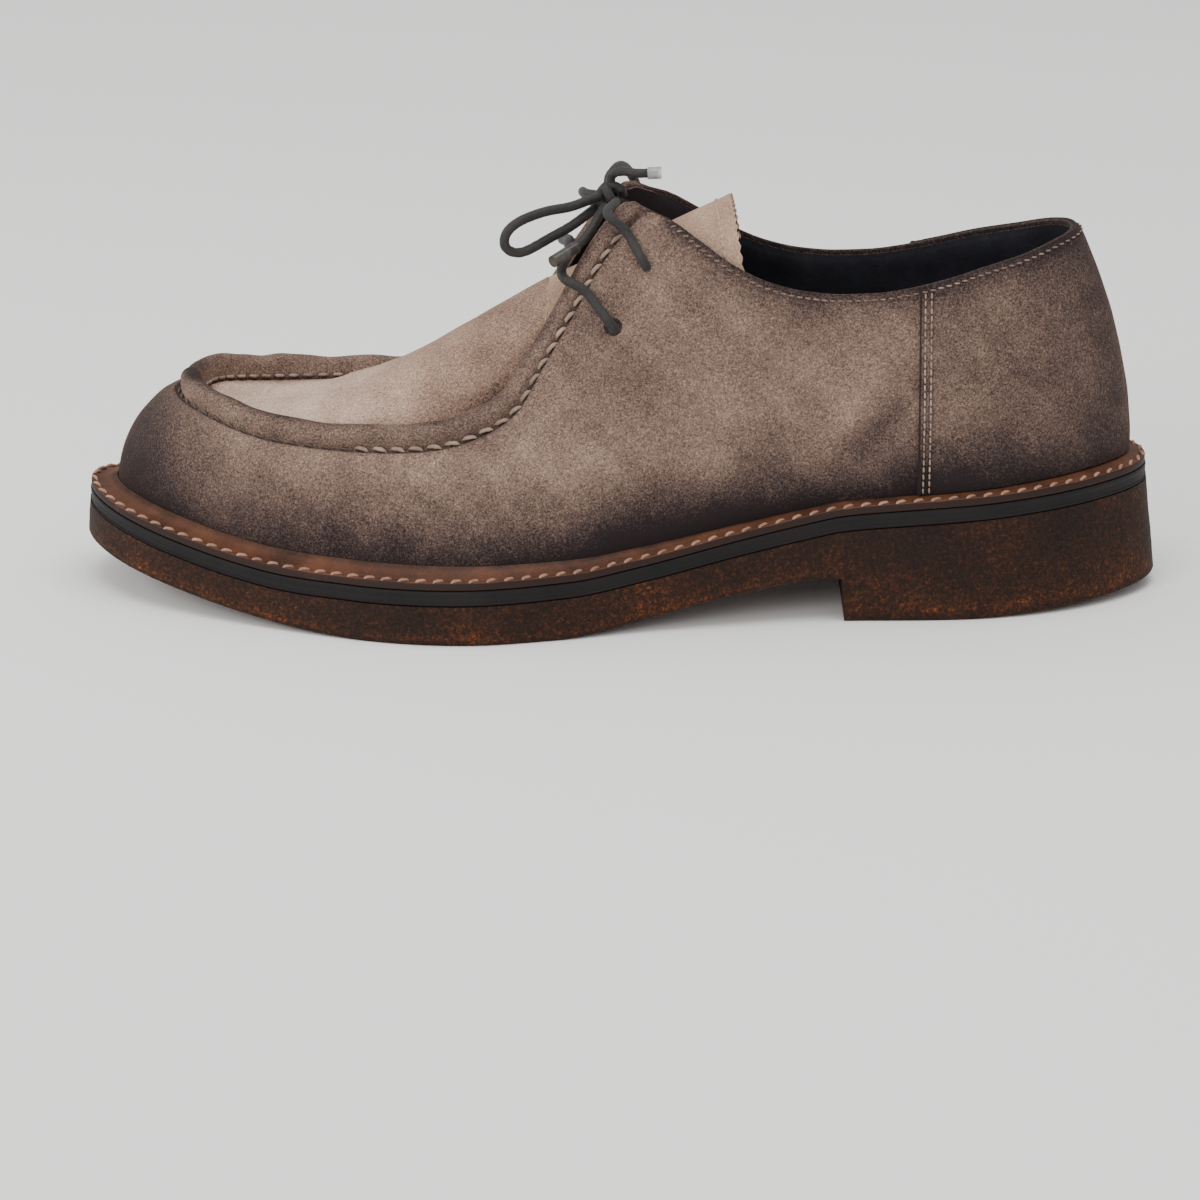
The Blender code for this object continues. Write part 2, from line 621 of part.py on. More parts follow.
def upper():
    """Hollow wall, rolled seam and apron in one piece."""
    stations = ring_stations()
    w, side = around(stations)
    count, toe = len(w), len(stations) - 1
    collared = w > CORNER + 0.001
    end = np.where(collared, collar_end(w, side), 1.0)
    levels = [end * k / WALL_ROWS for k in range(WALL_ROWS)]
    width, height, deep = roll_size(w)

    outer = [on_wall(w, side, t, np.zeros(count), np.zeros(count)) for t in levels]
    for j in range(ROLL_ROWS + 1):
        turn = math.pi * j / ROLL_ROWS
        up_by = np.where(collared, WALL * (0.3 * math.sin(turn) - 0.3),
                         width * (1 - math.cos(turn)) / 2)
        out_by = np.where(collared, -WALL * (1 - math.cos(turn)) / 2,
                          height * max(math.sin(turn), 0.0) ** 0.7)
        outer.append(on_wall(w, side, end, up_by, out_by))
    outer.append(on_wall(w, side, end, np.where(collared, -WALL * 0.7, width),
                         np.where(collared, -WALL, -deep)))

    inner = [on_wall(w, side, t, np.zeros(count), np.full(count, -WALL)) for t in levels]
    inner[0][:, 2] = outer[0][:, 2]
    apron = w <= THROAT + 1e-9
    under = np.where(apron, deep + APRON_WALL, WALL)
    for share, fall in ((0.0, 0.0), (0.5, 0.5), (0.95, 1.0)):
        up_by = np.where(collared, -WALL * (2.2 - 1.2 * share), width * share)
        inner.append(on_wall(w, side, end, up_by, -(WALL + (under - WALL) * fall)))

    rings = outer + inner[::-1]
    rows = len(rings)
    points = list(np.concatenate(rings))
    last_out, last_in = len(outer) - 1, len(outer)
    reach = TOE_COLUMNS + SIDE_COLUMNS
    faces = []
    for r in range(rows):
        s = (r + 1) % rows
        for c in range(count):
            d = (c + 1) % count
            if r == last_out and toe - reach <= c < toe + reach:
                continue
            faces.append((r * count + c, s * count + c, s * count + d, r * count + d))

    def patch(row, sink, up):
        ids = np.arange(count) + row * count
        ring = np.array(points)[ids]
        first, last = toe - TOE_COLUMNS, toe + TOE_COLUMNS
        outer_side = ids[first - np.arange(SIDE_COLUMNS + 1)]
        inner_side = ids[last + np.arange(SIDE_COLUMNS + 1)]
        front = ids[np.arange(first, last + 1)]
        grid = apron_grid(ring[outer_side - ids[0]], ring[inner_side - ids[0]],
                          ring[front - ids[0]], sink)
        table = np.zeros(grid.shape[:2], int)
        for i in range(grid.shape[0]):
            for j in range(grid.shape[1]):
                if i == 0:
                    table[i, j] = front[j]
                elif j == 0:
                    table[i, j] = outer_side[i]
                elif j == grid.shape[1] - 1:
                    table[i, j] = inner_side[i]
                else:
                    table[i, j] = len(points)
                    points.append(grid[i, j])
        for i in range(grid.shape[0] - 1):
            for j in range(grid.shape[1] - 1):
                quad = (table[i, j], table[i + 1, j], table[i + 1, j + 1], table[i, j + 1])
                faces.append(tuple(int(q) for q in (quad if up else quad[::-1])))
        return table[-1]

    above = patch(last_out, 0.0, True)
    below = patch(last_in, APRON_WALL, False)
    for j in range(len(above) - 1):
        faces.append(tuple(int(q) for q in (above[j], below[j], below[j + 1], above[j + 1])))
    new_object("upper", points, faces, (0.25, 0.18, 0.13), 0.9)


def counter():
    """Overlay round the back, a step above the wall behind its two front seams."""
    front_x = (COUNTER_SEAM_SHARE - 0.5) * SOLE_LENGTH

    def height_share(w, side, part):
        foot = outline(w, side, foot_inset(w))[0]
        low = at_height(w, side, lip_height(foot[..., 0], w) + GAP * 1.5)
        return low + (collar_end(w, side) - low) * part

    grids = []
    for part in np.linspace(0, 1, COUNTER_ROWS + 1):
        row = []
        for side in (-1.0, 1.0):
            near, far = 0.5, 1.0
            for _ in range(24):
                middle = np.array([(near + far) / 2])
                x = wall(middle, side, height_share(middle, side, part))[0, 0]
                near, far = (near, middle[0]) if x > front_x else (middle[0], far)
            w = np.linspace(near, 1, COUNTER_COLUMNS + 1)
            w = w if side < 0 else w[::-1][1:]
            row.append((w, np.full(w.shape, side)))
        w = np.concatenate([r[0] for r in row])
        side = np.concatenate([r[1] for r in row])
        share = height_share(w, side, part)
        zero = np.zeros_like(w)
        grids.append((on_wall(w, side, share, zero, zero + GAP),
                      on_wall(w, side, share, zero, zero + GAP + COUNTER_THICKNESS)))
    inner, outer = (np.array([g[i] for g in grids]) for i in (0, 1))
    sheet("counter", outer, inner, (0.24, 0.17, 0.125), 0.9)


def sheet(name, top, below, colour, roughness):
    """Closed solid between two grids: top is its outer face, seen from outside with rows upward."""
    rows, columns = top.shape[:2]
    ids = np.arange(rows * columns).reshape(rows, columns)
    faces = []
    for i in range(rows - 1):
        for j in range(columns - 1):
            quad = (ids[i, j], ids[i, j + 1], ids[i + 1, j + 1], ids[i + 1, j])
            faces.append(quad)
            faces.append(tuple(q + rows * columns for q in quad[::-1]))
    edge = list(ids[0]) + list(ids[1:, -1]) + list(ids[-1, -2::-1]) + list(ids[-2:0:-1, 0])
    for a, b in zip(edge, edge[1:] + edge[:1]):
        faces.append((a, a + rows * columns, b + rows * columns, b))
    faces = [tuple(int(q) for q in face) for face in faces]
    return new_object(name, np.concatenate([top.reshape(-1, 3), below.reshape(-1, 3)]), faces,
                      colour, roughness)


def tongue():
    """Arched strip from the apron's rear edge to the free end between the facings."""
    throat = np.array([THROAT])
    sides = [seam_base(throat, side)[0] for side in (-1.0, 1.0)]
    middle = (sides[0] + sides[1]) / 2
    root_half = (sides[1][1] - sides[0][1]) / 2 - TONGUE_THICKNESS
    root_crown = APRON_HEIGHT + (INSTEP_HEIGHT - APRON_HEIGHT) * APRON_LINE(share_of(middle[0]))
    end_x = (TONGUE_END_SHARE - 0.5) * SOLE_LENGTH
    u = np.linspace(0, 1, TONGUE_ROWS + 1)[:, None]
    v = np.linspace(-1, 1, TONGUE_COLUMNS + 1)[None, :]
    start = middle[0] + APRON_WALL + GAP
    x = start + (end_x - start + TONGUE_END_SWEEP * v * v) * u
    crown = root_crown + (TONGUE_HEIGHT - root_crown) * u
    half = root_half + (TONGUE_END_HALF - root_half) * u
    drop = (root_crown - middle[2]) * (1 - u) + TONGUE_END_DROP * u
    z = crown - drop * np.abs(v) ** (2.2 + 0.4 * u)
    centre = middle[1] - TONGUE_END_SHIFT * u
    top = np.stack([x, centre + half * v, z], -1)
    across, along = np.gradient(top, axis=1), np.gradient(top, axis=0)
    below = top - unit(np.cross(along, across)) * TONGUE_THICKNESS
    below[0, :, 0] = top[0, :, 0]
    sheet("tongue", top.swapaxes(0, 1), below.swapaxes(0, 1), (0.36, 0.25, 0.17), 0.9)


def place_on_wall(x, height, side):
    """Station and share of the wall's height at a given x and level."""
    near, far = 0.3, 0.9
    for _ in range(30):
        w = np.array([(near + far) / 2])
        t = at_height(w, side, height)
        near, far = (near, w[0]) if wall(w, side, t)[0, 0] > x else (w[0], far)
    return w, t


def through(points, knotted=True):
    """Evenly spaced points on a smooth curve through hand-chosen ones, from the knot's face on."""
    points = np.array(points)
    long = np.concatenate([[0], np.cumsum(np.linalg.norm(np.diff(points, axis=0), axis=1))])
    curves = [spline(long, points[:, k]) for k in range(3)]
    fine = np.linspace(0, long[-1], 400)
    if knotted:
        run = np.stack([curve(fine) for curve in curves], -1)
        away = np.linalg.norm((run - KNOT) / (np.array(KNOT_RADII) + KNOT_SEAT), axis=1)
        fine = fine[away > 1]
    count = max(3, int(round((fine[-1] - fine[0]) / (LACE * LACE_STEP))) + 1)
    at = np.linspace(fine[0], fine[-1], count)
    return np.stack([curve(at) for curve in curves], -1)


def tube(name, points, diameter, colour, roughness):
    data = bpy.data.curves.new(name, "CURVE")
    data.dimensions = "3D"
    data.bevel_depth = diameter / 2
    data.bevel_resolution = 2
    data.use_fill_caps = True
    run = data.splines.new("POLY")
    run.points.add(len(points) - 1)
    for point, place in zip(run.points, points):
        point.co = (*map(float, place), 1.0)
    made = bpy.data.objects.new(name, data)
    data.materials.append(finish(name, colour, roughness))
    bpy.context.collection.objects.link(made)
    return made


def over_edge(level, side):
    """A run's points from its eyelet up to the top of the rolled edge that it crosses."""
    share, height = EYELETS[level]
    clear = LACE / 2 + GAP
    w, t = place_on_wall((share - 0.5) * SOLE_LENGTH, height, side)
    crossing = np.array([float(station(CROSSINGS[level]))])
    width, roll, _ = roll_size(crossing)
    one = np.ones(1)
    start = on_wall(w, side, t, 0 * one, one * clear)[0]
    seam = on_wall(crossing, side, one, -width * 0.35, one * (clear + LACE * 0.5))[0]
    crest = on_wall(crossing, side, one, width * 0.5, roll + clear * 1.6)[0]
    return [start, (start + seam) / 2 + (seam - crest) * 0.08, seam, crest]


def knot():
    """Closed lump of the bow's knot."""
    rings, sides = 6, 10
    points = [(0, 0, -1)]
    for i in range(1, rings):
        turn = math.pi * i / rings
        for j in range(sides):
            angle = 2 * math.pi * j / sides
            points.append((math.sin(turn) * math.cos(angle), math.sin(turn) * math.sin(angle),
                           -math.cos(turn)))
    points.append((0, 0, 1))
    last = len(points) - 1
    faces = []
    for j in range(sides):
        k = (j + 1) % sides
        faces.append((0, 1 + k, 1 + j))
        faces.append((last, last - sides + j, last - sides + k))
        for i in range(rings - 2):
            a, b = 1 + i * sides, 1 + (i + 1) * sides
            faces.append((a + j, a + k, b + k, b + j))
    made = new_object("lace_knot", np.array(points) * KNOT_RADII, faces, LACE_COLOUR, 0.6)
    made.location = KNOT
    return made


def laces():
    """The bar at the lower eyelets, the two runs to the knot, and the bow with its ends."""
    bar = over_edge("lower", -1.0) + list(LOWER_MIDDLE) + over_edge("lower", 1.0)[::-1]
    tube("lace_lower_bar", through(bar, False), LACE, LACE_COLOUR, 0.6)
    knot()
    entry = np.array(KNOT) + KNOT_ENTRY
    reach = np.array([0, KNOT_RADII[1], 0])
    for name, route in (("near_run", over_edge("upper", -1.0) + [entry - reach, entry]),
                        ("far_run", over_edge("upper", 1.0) + [entry + reach, entry]),
                        ("near_loop", NEAR_LOOP), ("far_loop", FAR_LOOP)):
        tube("lace_" + name, through(route), LACE, LACE_COLOUR, 0.6)
    for name, route, tip in (("near", NEAR_END, NEAR_AGLET), ("far", FAR_END, FAR_AGLET)):
        cord = through(route)
        tube(f"lace_{name}_end", cord, LACE, LACE_COLOUR, 0.6)
        way = unit(np.array(tip) - cord[-1])
        lean = np.linalg.norm(np.cross(way, unit(cord[-1] - cord[-2])))
        start = cord[-1] + way * (GAP + (AGLET + LACE) / 2 * lean)
        tube(f"{name}_aglet", np.array([start, tip]), AGLET, (0.1, 0.1, 0.1), 0.3)


def build():
    for old in list(bpy.data.objects):
        bpy.data.objects.remove(old, do_unlink=True)
    outsole()
    midsole()
    welt()
    insole()
    upper()
    counter()
    tongue()
    laces()


build()
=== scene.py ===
import math

import bpy
import numpy as np
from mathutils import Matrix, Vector


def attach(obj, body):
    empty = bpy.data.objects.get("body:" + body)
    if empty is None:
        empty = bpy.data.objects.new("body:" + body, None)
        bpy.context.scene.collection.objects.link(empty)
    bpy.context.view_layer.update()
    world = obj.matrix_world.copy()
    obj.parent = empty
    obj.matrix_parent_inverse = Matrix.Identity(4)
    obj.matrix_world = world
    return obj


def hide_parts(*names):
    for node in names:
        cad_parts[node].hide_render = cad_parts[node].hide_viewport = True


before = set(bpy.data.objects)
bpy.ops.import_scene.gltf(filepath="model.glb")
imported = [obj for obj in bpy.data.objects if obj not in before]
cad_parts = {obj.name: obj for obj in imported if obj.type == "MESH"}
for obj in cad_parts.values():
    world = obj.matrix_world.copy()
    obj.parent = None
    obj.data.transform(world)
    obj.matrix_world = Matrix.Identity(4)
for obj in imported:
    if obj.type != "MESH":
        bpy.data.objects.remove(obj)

# Driving dimensions, metres
SOLE_LENGTH = 0.305
BALL_WIDTH = 0.109
HEEL_WIDTH = 0.075
TOE_SWING = 0.005          # how far the toe tip lies to the inner side of the heel's centre line
TOE_SPRING = 0.0135        # height of the sole's underside at the toe tip
BREAST_HEIGHT = 0.0125     # height of the heel's front face
BREAST_SLOPE = 0.0008      # how far that face leans
HEEL_BEVEL = 0.0035        # lift of the underside at the back of the heel
FOREPART_STACK = 0.018     # floor to welt at the ball
HEEL_STACK = 0.0344        # floor to welt at the middle of the heel
WELT_THICKNESS = 0.0022
WELT_WIDTH = 0.0073        # flat width of the welt at the toe
WELT_LIP = 0.0027          # how far the welt's inner lip stands above its edge at the ball
MIDSOLE_THICKNESS = 0.0042
MIDSOLE_INSET = 0.0009     # the midsole's edge lies in from the outsole's
WELT_INSET = 0.0012
OUTSOLE_TAPER = 0.0007     # the outsole's side leans in by this up to its top edge
OUTSOLE_BEVEL = 0.0008     # worn bottom edge of the outsole
HEEL_LEAN = 0.0024         # more of the same lean at the back of the heel
LEAN_START = 0.84          # share of the length where that lean starts
WALL = 0.002               # suede and lining together
APRON_WALL = 0.002
COUNTER_THICKNESS = 0.0012
COUNTER_SEAM_SHARE = 0.77  # where the counter's front edges stand, from the toe
TONGUE_THICKNESS = 0.002
FACING_HEIGHT = 0.1124     # top of the seam line at the facings' top corners
TOPLINE_LOW = 0.0908       # lowest point of the collar
BACK_HEIGHT = 0.1045       # collar at the back of the heel
APRON_HEIGHT = 0.0504      # seam line beside the ball of the foot
INSTEP_HEIGHT = 0.0905     # top of the apron where the tongue begins
TONGUE_HEIGHT = 0.1133     # top of the tongue's free end
ROLL_WIDTH = 0.0062        # rolled seam round the apron
ROLL_HEIGHT = 0.0052
FACING_ROLL_WIDTH = 0.0052  # the same seam beside the tongue
FACING_ROLL_HEIGHT = 0.0024
GAP = 0.0003               # room between pieces that touch

# Half widths of the sole each side of its centre line, by share of the length from the toe tip, as
# shares of the ball width in the forepart and of the heel width behind the arch
OUTLINE = (
    ("share", "outer", "inner"),
    (0.0, 0.0, 0.0),
    (0.0066, 0.088, 0.092),
    (0.028, 0.174, 0.1835),
    (0.0656, 0.260, 0.277),
    (0.1, 0.312, 0.339),
    (0.166, 0.394, 0.420),
    (0.231, 0.466, 0.4585),
    (0.297, 0.523, 0.458),
    (0.336, 0.5385, 0.4395),
    (0.375, 0.5375, 0.412),
    (0.425, 0.510, 0.369),
    (0.511, 0.466, 0.310),
    (0.615, 0.497, 0.342),
    (0.73, 0.505, 0.453),
    (0.828, 0.487, 0.493),
    (0.877, 0.443, 0.459),
    (0.926, 0.360, 0.376),
    (0.959, 0.271, 0.285),
    (0.982, 0.181, 0.191),
    (1.0, 0.0, 0.0),
)
SWING_END = 0.25           # the centre line is straight behind this share of the length
ARCH_START = 0.45          # from here to ARCH_END the width passes from ball to heel
ARCH_END = 0.7

# Toe spring of the sole, as shares of TOE_SPRING
SPRING = (
    ("share", "lift"),
    (0.0, 1.0), (0.028, 0.815), (0.067, 0.62), (0.1, 0.467), (0.133, 0.32), (0.166, 0.2),
    (0.198, 0.104), (0.231, 0.037), (0.27, 0.0), (1.0, 0.0),
)
# Underside of the shank, as shares of BREAST_HEIGHT
SHANK = (
    ("share", "lift"),
    (0.0, 0.0), (0.441, 0.0), (0.48, 0.1), (0.516, 0.27), (0.572, 0.58), (0.615, 0.78),
    (0.68, 0.98), (1.0, 1.0),
)
BREAST_SHARE = 0.7016
BEVEL_START = 0.81
# Top of the sole: how thick the forepart's stack is, and how far it has risen to the heel's
STACK = (
    ("share", "thick", "rise"),
    (0.0, 0.917, 0.0), (0.1, 0.90, 0.0), (0.166, 0.911, 0.0), (0.264, 1.0, 0.0),
    (0.395, 1.0, 0.02), (0.457, 1.0, 0.055), (0.511, 1.0, 0.19), (0.605, 1.0, 0.555),
    (0.67, 1.0, 0.79), (0.705, 1.0, 0.915), (0.759, 1.0, 1.0), (0.831, 1.0, 1.085),
    (0.897, 1.0, 1.17), (0.952, 1.0, 1.22), (1.0, 1.0, 1.24),
)
# Flat width of the welt and the height of its inner lip, as shares of WELT_WIDTH and WELT_LIP
WELT = (
    ("share", "width", "lip"),
    (0.0, 1.0, 0.93), (0.3, 0.91, 1.0), (0.46, 0.85, 0.75), (0.6, 0.77, 0.3),
    (0.8, 0.75, 0.15), (0.93, 0.9, 0.3), (1.0, 1.12, 0.5),
)

# The wall's upper end round the foot, by the station that its foot stands at: the seam line of the
# apron as far as the facings' top corners, and behind them the line that the smooth wall would
# reach if no collar were cut. x is a share of the length, half and centre are shares of the ball
# width, and z is a share of FACING_HEIGHT above APRON_HEIGHT
WALL_TOP = (
    ("share", "x", "half", "centre", "z"),
    (0.0, 0.0902, 0.0, 0.037, 0.089),
    (0.02, 0.0974, 0.092, 0.035, 0.087),
    (0.0656, 0.118, 0.179, 0.028, 0.073),
    (0.11, 0.1459, 0.241, 0.018, 0.045),
    (0.166, 0.182, 0.289, 0.007, 0.019),
    (0.231, 0.236, 0.323, -0.003, 0.003),
    (0.297, 0.2984, 0.335, -0.009, 0.0),
    (0.345, 0.3443, 0.326, -0.009, 0.021),
    (0.38, 0.377, 0.303, -0.008, 0.073),
    (0.405, 0.4033, 0.2735, -0.006, 0.153),
    (0.43, 0.422, 0.243, -0.004, 0.297),
    (0.457, 0.441, 0.2135, -0.002, 0.454),
    (0.485, 0.4607, 0.1835, 0.0, 0.617),
    (0.515, 0.4852, 0.1505, 0.0, 0.816),
    (0.543, 0.518, 0.1174, 0.0, 0.992),
    (0.565, 0.5443, 0.1156, 0.0, 1.056),
    (0.61, 0.5885, 0.142, 0.0, 1.08),
    (0.67, 0.6459, 0.165, 0.0, 1.064),
    (0.75, 0.7197, 0.175, 0.0, 1.016),
    (0.83, 0.7918, 0.165, 0.0, 0.984),
    (0.9, 0.8508, 0.133, 0.0, 0.96),
    (0.96, 0.8918, 0.081, 0.0, 0.944),
    (1.0, 0.9082, 0.0, 0.0, 0.936),
)
# How the wall rises between its foot and that line: the lower handle's height as a share of the
# wall's, how far it swells out on each side, and the upper handle's reach out and its drop. The
# three reaches are shares of the ball width
SECTION = (
    ("share", "rise", "outer", "inner", "shoulder", "drop"),
    (0.0, 0.42, 0.003, 0.003, 0.106, 0.03),
    (0.1, 0.41, 0.007, 0.007, 0.100, 0.05),
    (0.2, 0.42, 0.012, 0.012, 0.096, 0.10),
    (0.3, 0.40, 0.014, 0.014, 0.088, 0.13),
    (0.38, 0.38, 0.018, 0.02, 0.082, 0.14),
    (0.45, 0.36, 0.026, 0.045, 0.088, 0.14),
    (0.515, 0.35, 0.028, 0.07, 0.098, 0.145),
    (0.6, 0.35, 0.032, 0.08, 0.082, 0.20),
    (0.7, 0.35, 0.036, 0.06, 0.05, 0.30),
    (0.85, 0.35, 0.028, 0.03, 0.055, 0.28),
    (0.93, 0.35, 0.015, 0.015, 0.074, 0.26),
    (1.0, 0.35, 0.005, 0.005, 0.092, 0.25),
)
THROAT_SHARE = 0.457       # station where the apron ends and the tongue begins
CORNER_SHARE = 0.543       # station of the facings' top corners
TOE_CORNER_SHARE = 0.06    # station where the apron's front edge turns into its sides
ROLL_THINS_SHARE = 0.38    # station from which the rolled seam thins towards the facings
# Collar line: how far it has risen above TOPLINE_LOW, as a share of the way to FACING_HEIGHT in
# front of its lowest point and of the way to BACK_HEIGHT behind it
LOWEST_SHARE = 0.70
TOPLINE = (
    ("share", "rise"),
    (0.50, 1.04), (0.516, 1.01), (0.539, 0.92), (0.5715, 0.64), (0.6036, 0.347),
    (0.636, 0.144), (0.667, 0.04), (0.70, 0.0), (0.7325, 0.021), (0.761, 0.109),
    (0.795, 0.277), (0.828, 0.481), (0.867, 0.697), (0.90, 0.924), (0.9164, 1.0), (1.0, 1.053),
)
# Centre line of the apron from its front edge to the tongue: z as a share between APRON_HEIGHT and
# INSTEP_HEIGHT
CROWN = (
    ("share", "z"),
    (0.11, 0.02), (0.16, 0.03), (0.205, 0.085), (0.24, 0.175), (0.28, 0.30), (0.3066, 0.40),
    (0.35, 0.597), (0.392, 0.78), (0.425, 0.91), (0.4475, 1.0), (0.5, 1.2),
)
TONGUE_END_SHARE = 0.6     # free end of the tongue
TONGUE_END_HALF = 0.0192   # half its width there
TONGUE_END_SHIFT = 0.0016  # how far it leans to the outer side there
TONGUE_END_DROP = 0.0165   # how far its sides hang below its middle there
TONGUE_END_SWEEP = 0.0032  # how far its corners lie behind the middle of its end

# Lace, metres. The runs start at the eyelets, cross the rolled edge and then follow these points
LACE = 0.0028
AGLET = 0.0034
EYELETS = {"lower": (0.492, 0.0825), "upper": (0.521, 0.0984)}   # share of the length, height
CROSSINGS = {"lower": 0.491, "upper": 0.529}   # stations where the runs cross the seam line
LOWER_MIDDLE = ((-0.0146, -0.0015, 0.0985), (-0.0148, 0.0042, 0.0990), (-0.0146, 0.0099, 0.0985))
KNOT = (-0.0027, 0.0032, 0.1129)
KNOT_RADII = (0.0048, 0.0042, 0.0036)
KNOT_ENTRY = (0.0010, 0.0, -0.0009)   # the two runs enter the knot this far from its middle
KNOT_CORE = 0.75           # share of the knot's radii inside which no lace is drawn
NEAR_LOOP = (
    (-0.0052, 0.0022, 0.1132),
    (-0.0090, -0.0006, 0.1127), (-0.0143, -0.0034, 0.1115), (-0.0199, -0.0056, 0.1110),
    (-0.0248, -0.0076, 0.1100), (-0.0295, -0.0096, 0.1081), (-0.0322, -0.0106, 0.1051),
    (-0.0322, -0.0106, 0.1020), (-0.0296, -0.0098, 0.1001), (-0.0249, -0.0078, 0.1008),
    (-0.0199, -0.0058, 0.1032), (-0.0143, -0.0034, 0.1058), (-0.0100, -0.0004, 0.1082),
    (-0.0060, 0.0034, 0.1104),
)
FAR_LOOP = (
    (-0.0030, 0.0048, 0.1142),
    (-0.0036, 0.0072, 0.1164), (-0.0026, 0.0104, 0.1178), (-0.0010, 0.0150, 0.1184),
    (0.0008, 0.0198, 0.1172), (0.0030, 0.0246, 0.1134), (0.0046, 0.0286, 0.1084),
    (0.0040, 0.0316, 0.1044), (0.0002, 0.0322, 0.1022), (-0.0046, 0.0296, 0.1030),
    (-0.0086, 0.0248, 0.1062), (-0.0104, 0.0198, 0.1094), (-0.0108, 0.0148, 0.1112),
    (-0.0098, 0.0096, 0.1120),
    (-0.0058, 0.0056, 0.1124),
)
NEAR_END = (
    (-0.0043, 0.0004, 0.1108), (-0.0067, -0.0037, 0.1083), (-0.0085, -0.0070, 0.1058),
    (-0.0104, -0.0096, 0.1040), (-0.0124, -0.0118, 0.1023),
)
NEAR_AGLET = (-0.0190, -0.0188, 0.0999)
FAR_END = (
    (-0.0027, 0.0031, 0.1146), (-0.0027, 0.0030, 0.1188), (0.0004, 0.0014, 0.1204),
    (0.0040, 0.0002, 0.1202), (0.0068, 0.0002, 0.1202),
)
FAR_AGLET = (0.0111, 0.0002, 0.1203)

# Where the counter's front edges stand, and its two rows of stitches: this far behind those edges,
# at these shares of the seam's height
COUNTER_X = (COUNTER_SEAM_SHARE - 0.5) * SOLE_LENGTH
COUNTER_ROWS = (0.0014, 0.0031)
COUNTER_LEVELS = np.arange(0.02, 0.985, 0.036)

# From one stitch to the next, metres
SEAM_PITCH = 0.0050        # moccasin seam and facings
APRON_PITCH = 0.0046
COLLAR_PITCH = 0.0023
WELT_PITCH = 0.0049
COLLAR_MARGIN = 0.0017     # the collar's stitches lie this far below its edge
WELT_MARGIN = 0.0010       # the welt's stitches lie this far in from its edge
FACING_START = 0.33        # from this place on the ring back, the seam's stitches are the facing's
# Each row of stitches: length and half thickness in metres, and tone
STITCHES = {
    "toe_seam_stitches": (0.0030, 0.00036, -0.9),
    "facing_stitches": (0.0044, 0.00062, 0.25),
    "apron_stitches": (0.0032, 0.0005, 0.1),
    "collar_stitches": (0.0017, 0.00026, -0.5),
    "counter_stitches": (0.0018, 0.00029, 0.0),
    "welt_stitches": (0.0036, 0.00050, 0.0),
    "tongue_stitches": (0.0019, 0.0003, 0.6),
}


def named(table, name):
    """One column of a table whose first row names its columns."""
    column = table[0].index(name)
    return np.array([row[column] for row in table[1:]], float)


def station(share):
    """Place along the ring, 0 at the toe tip and 1 at the heel, for a share of the length."""
    return np.arccos(np.clip(1 - 2 * np.asarray(share, float), -1, 1)) / math.pi


def spline(xs, ys):
    """Smooth curve through a table's points."""
    size, step = len(xs), np.diff(xs)
    matrix, right = np.eye(size), np.zeros(size)
    for i in range(1, size - 1):
        matrix[i, i - 1:i + 2] = step[i - 1], 2 * (step[i - 1] + step[i]), step[i]
        right[i] = 6 * ((ys[i + 1] - ys[i]) / step[i] - (ys[i] - ys[i - 1]) / step[i - 1])
    bend = np.linalg.solve(matrix, right)

    def at(x):
        x = np.clip(np.asarray(x, float), xs[0], xs[-1])
        i = np.clip(np.searchsorted(xs, x, side="right") - 1, 0, size - 2)
        a, b, h = xs[i + 1] - x, x - xs[i], step[i]
        return ((bend[i] * a ** 3 + bend[i + 1] * b ** 3) / (6 * h)
                + (ys[i] / h - bend[i] * h / 6) * a + (ys[i + 1] / h - bend[i + 1] * h / 6) * b)
    return at


def steady(xs, ys):
    """Curve through a table's points that never overshoots them."""
    step = np.diff(xs)
    rate = np.diff(ys) / step
    slope = np.concatenate([[rate[0]], np.zeros(len(xs) - 2), [rate[-1]]])
    for i in range(1, len(xs) - 1):
        if rate[i - 1] * rate[i] > 0:
            slope[i] = 2 * rate[i - 1] * rate[i] / (rate[i - 1] + rate[i])

    def at(x):
        x = np.clip(np.asarray(x, float), xs[0], xs[-1])
        i = np.clip(np.searchsorted(xs, x, side="right") - 1, 0, len(xs) - 2)
        h = step[i]
        u = (x - xs[i]) / h
        return (ys[i] * (1 + 2 * u) * (1 - u) ** 2 + slope[i] * h * u * (1 - u) ** 2
                + ys[i + 1] * u * u * (3 - 2 * u) + slope[i + 1] * h * u * u * (u - 1))
    return at


def ring_curve(table, name):
    """A table's column as a smooth curve along the ring."""
    return spline(station(named(table, "share")), named(table, name))


def length_curve(table, name):
    """A table's column as a curve along the length that never overshoots."""
    return steady(named(table, "share"), named(table, name))


def ease(low, high, value):
    """0 up to low, 1 from high on, with a smooth step between."""
    u = np.clip((value - low) / (high - low), 0, 1)
    return u * u * (3 - 2 * u)


def hump(value, middle, width):
    """1 at the middle, falling off over the width on both sides."""
    return np.exp(-((value - middle) / width) ** 2)


OUTER, INNER = ring_curve(OUTLINE, "outer"), ring_curve(OUTLINE, "inner")
WELT_FLAT, LIP = ring_curve(WELT, "width"), ring_curve(WELT, "lip")
TOP = {name: ring_curve(WALL_TOP, name) for name in ("x", "half", "centre", "z")}
HANDLE = {name: ring_curve(SECTION, name) for name in SECTION[0][1:]}
LIFT, ARCH = length_curve(SPRING, "lift"), length_curve(SHANK, "lift")
THICK, RISE = length_curve(STACK, "thick"), length_curve(STACK, "rise")
COLLAR, APRON_LINE = length_curve(TOPLINE, "rise"), length_curve(CROWN, "z")


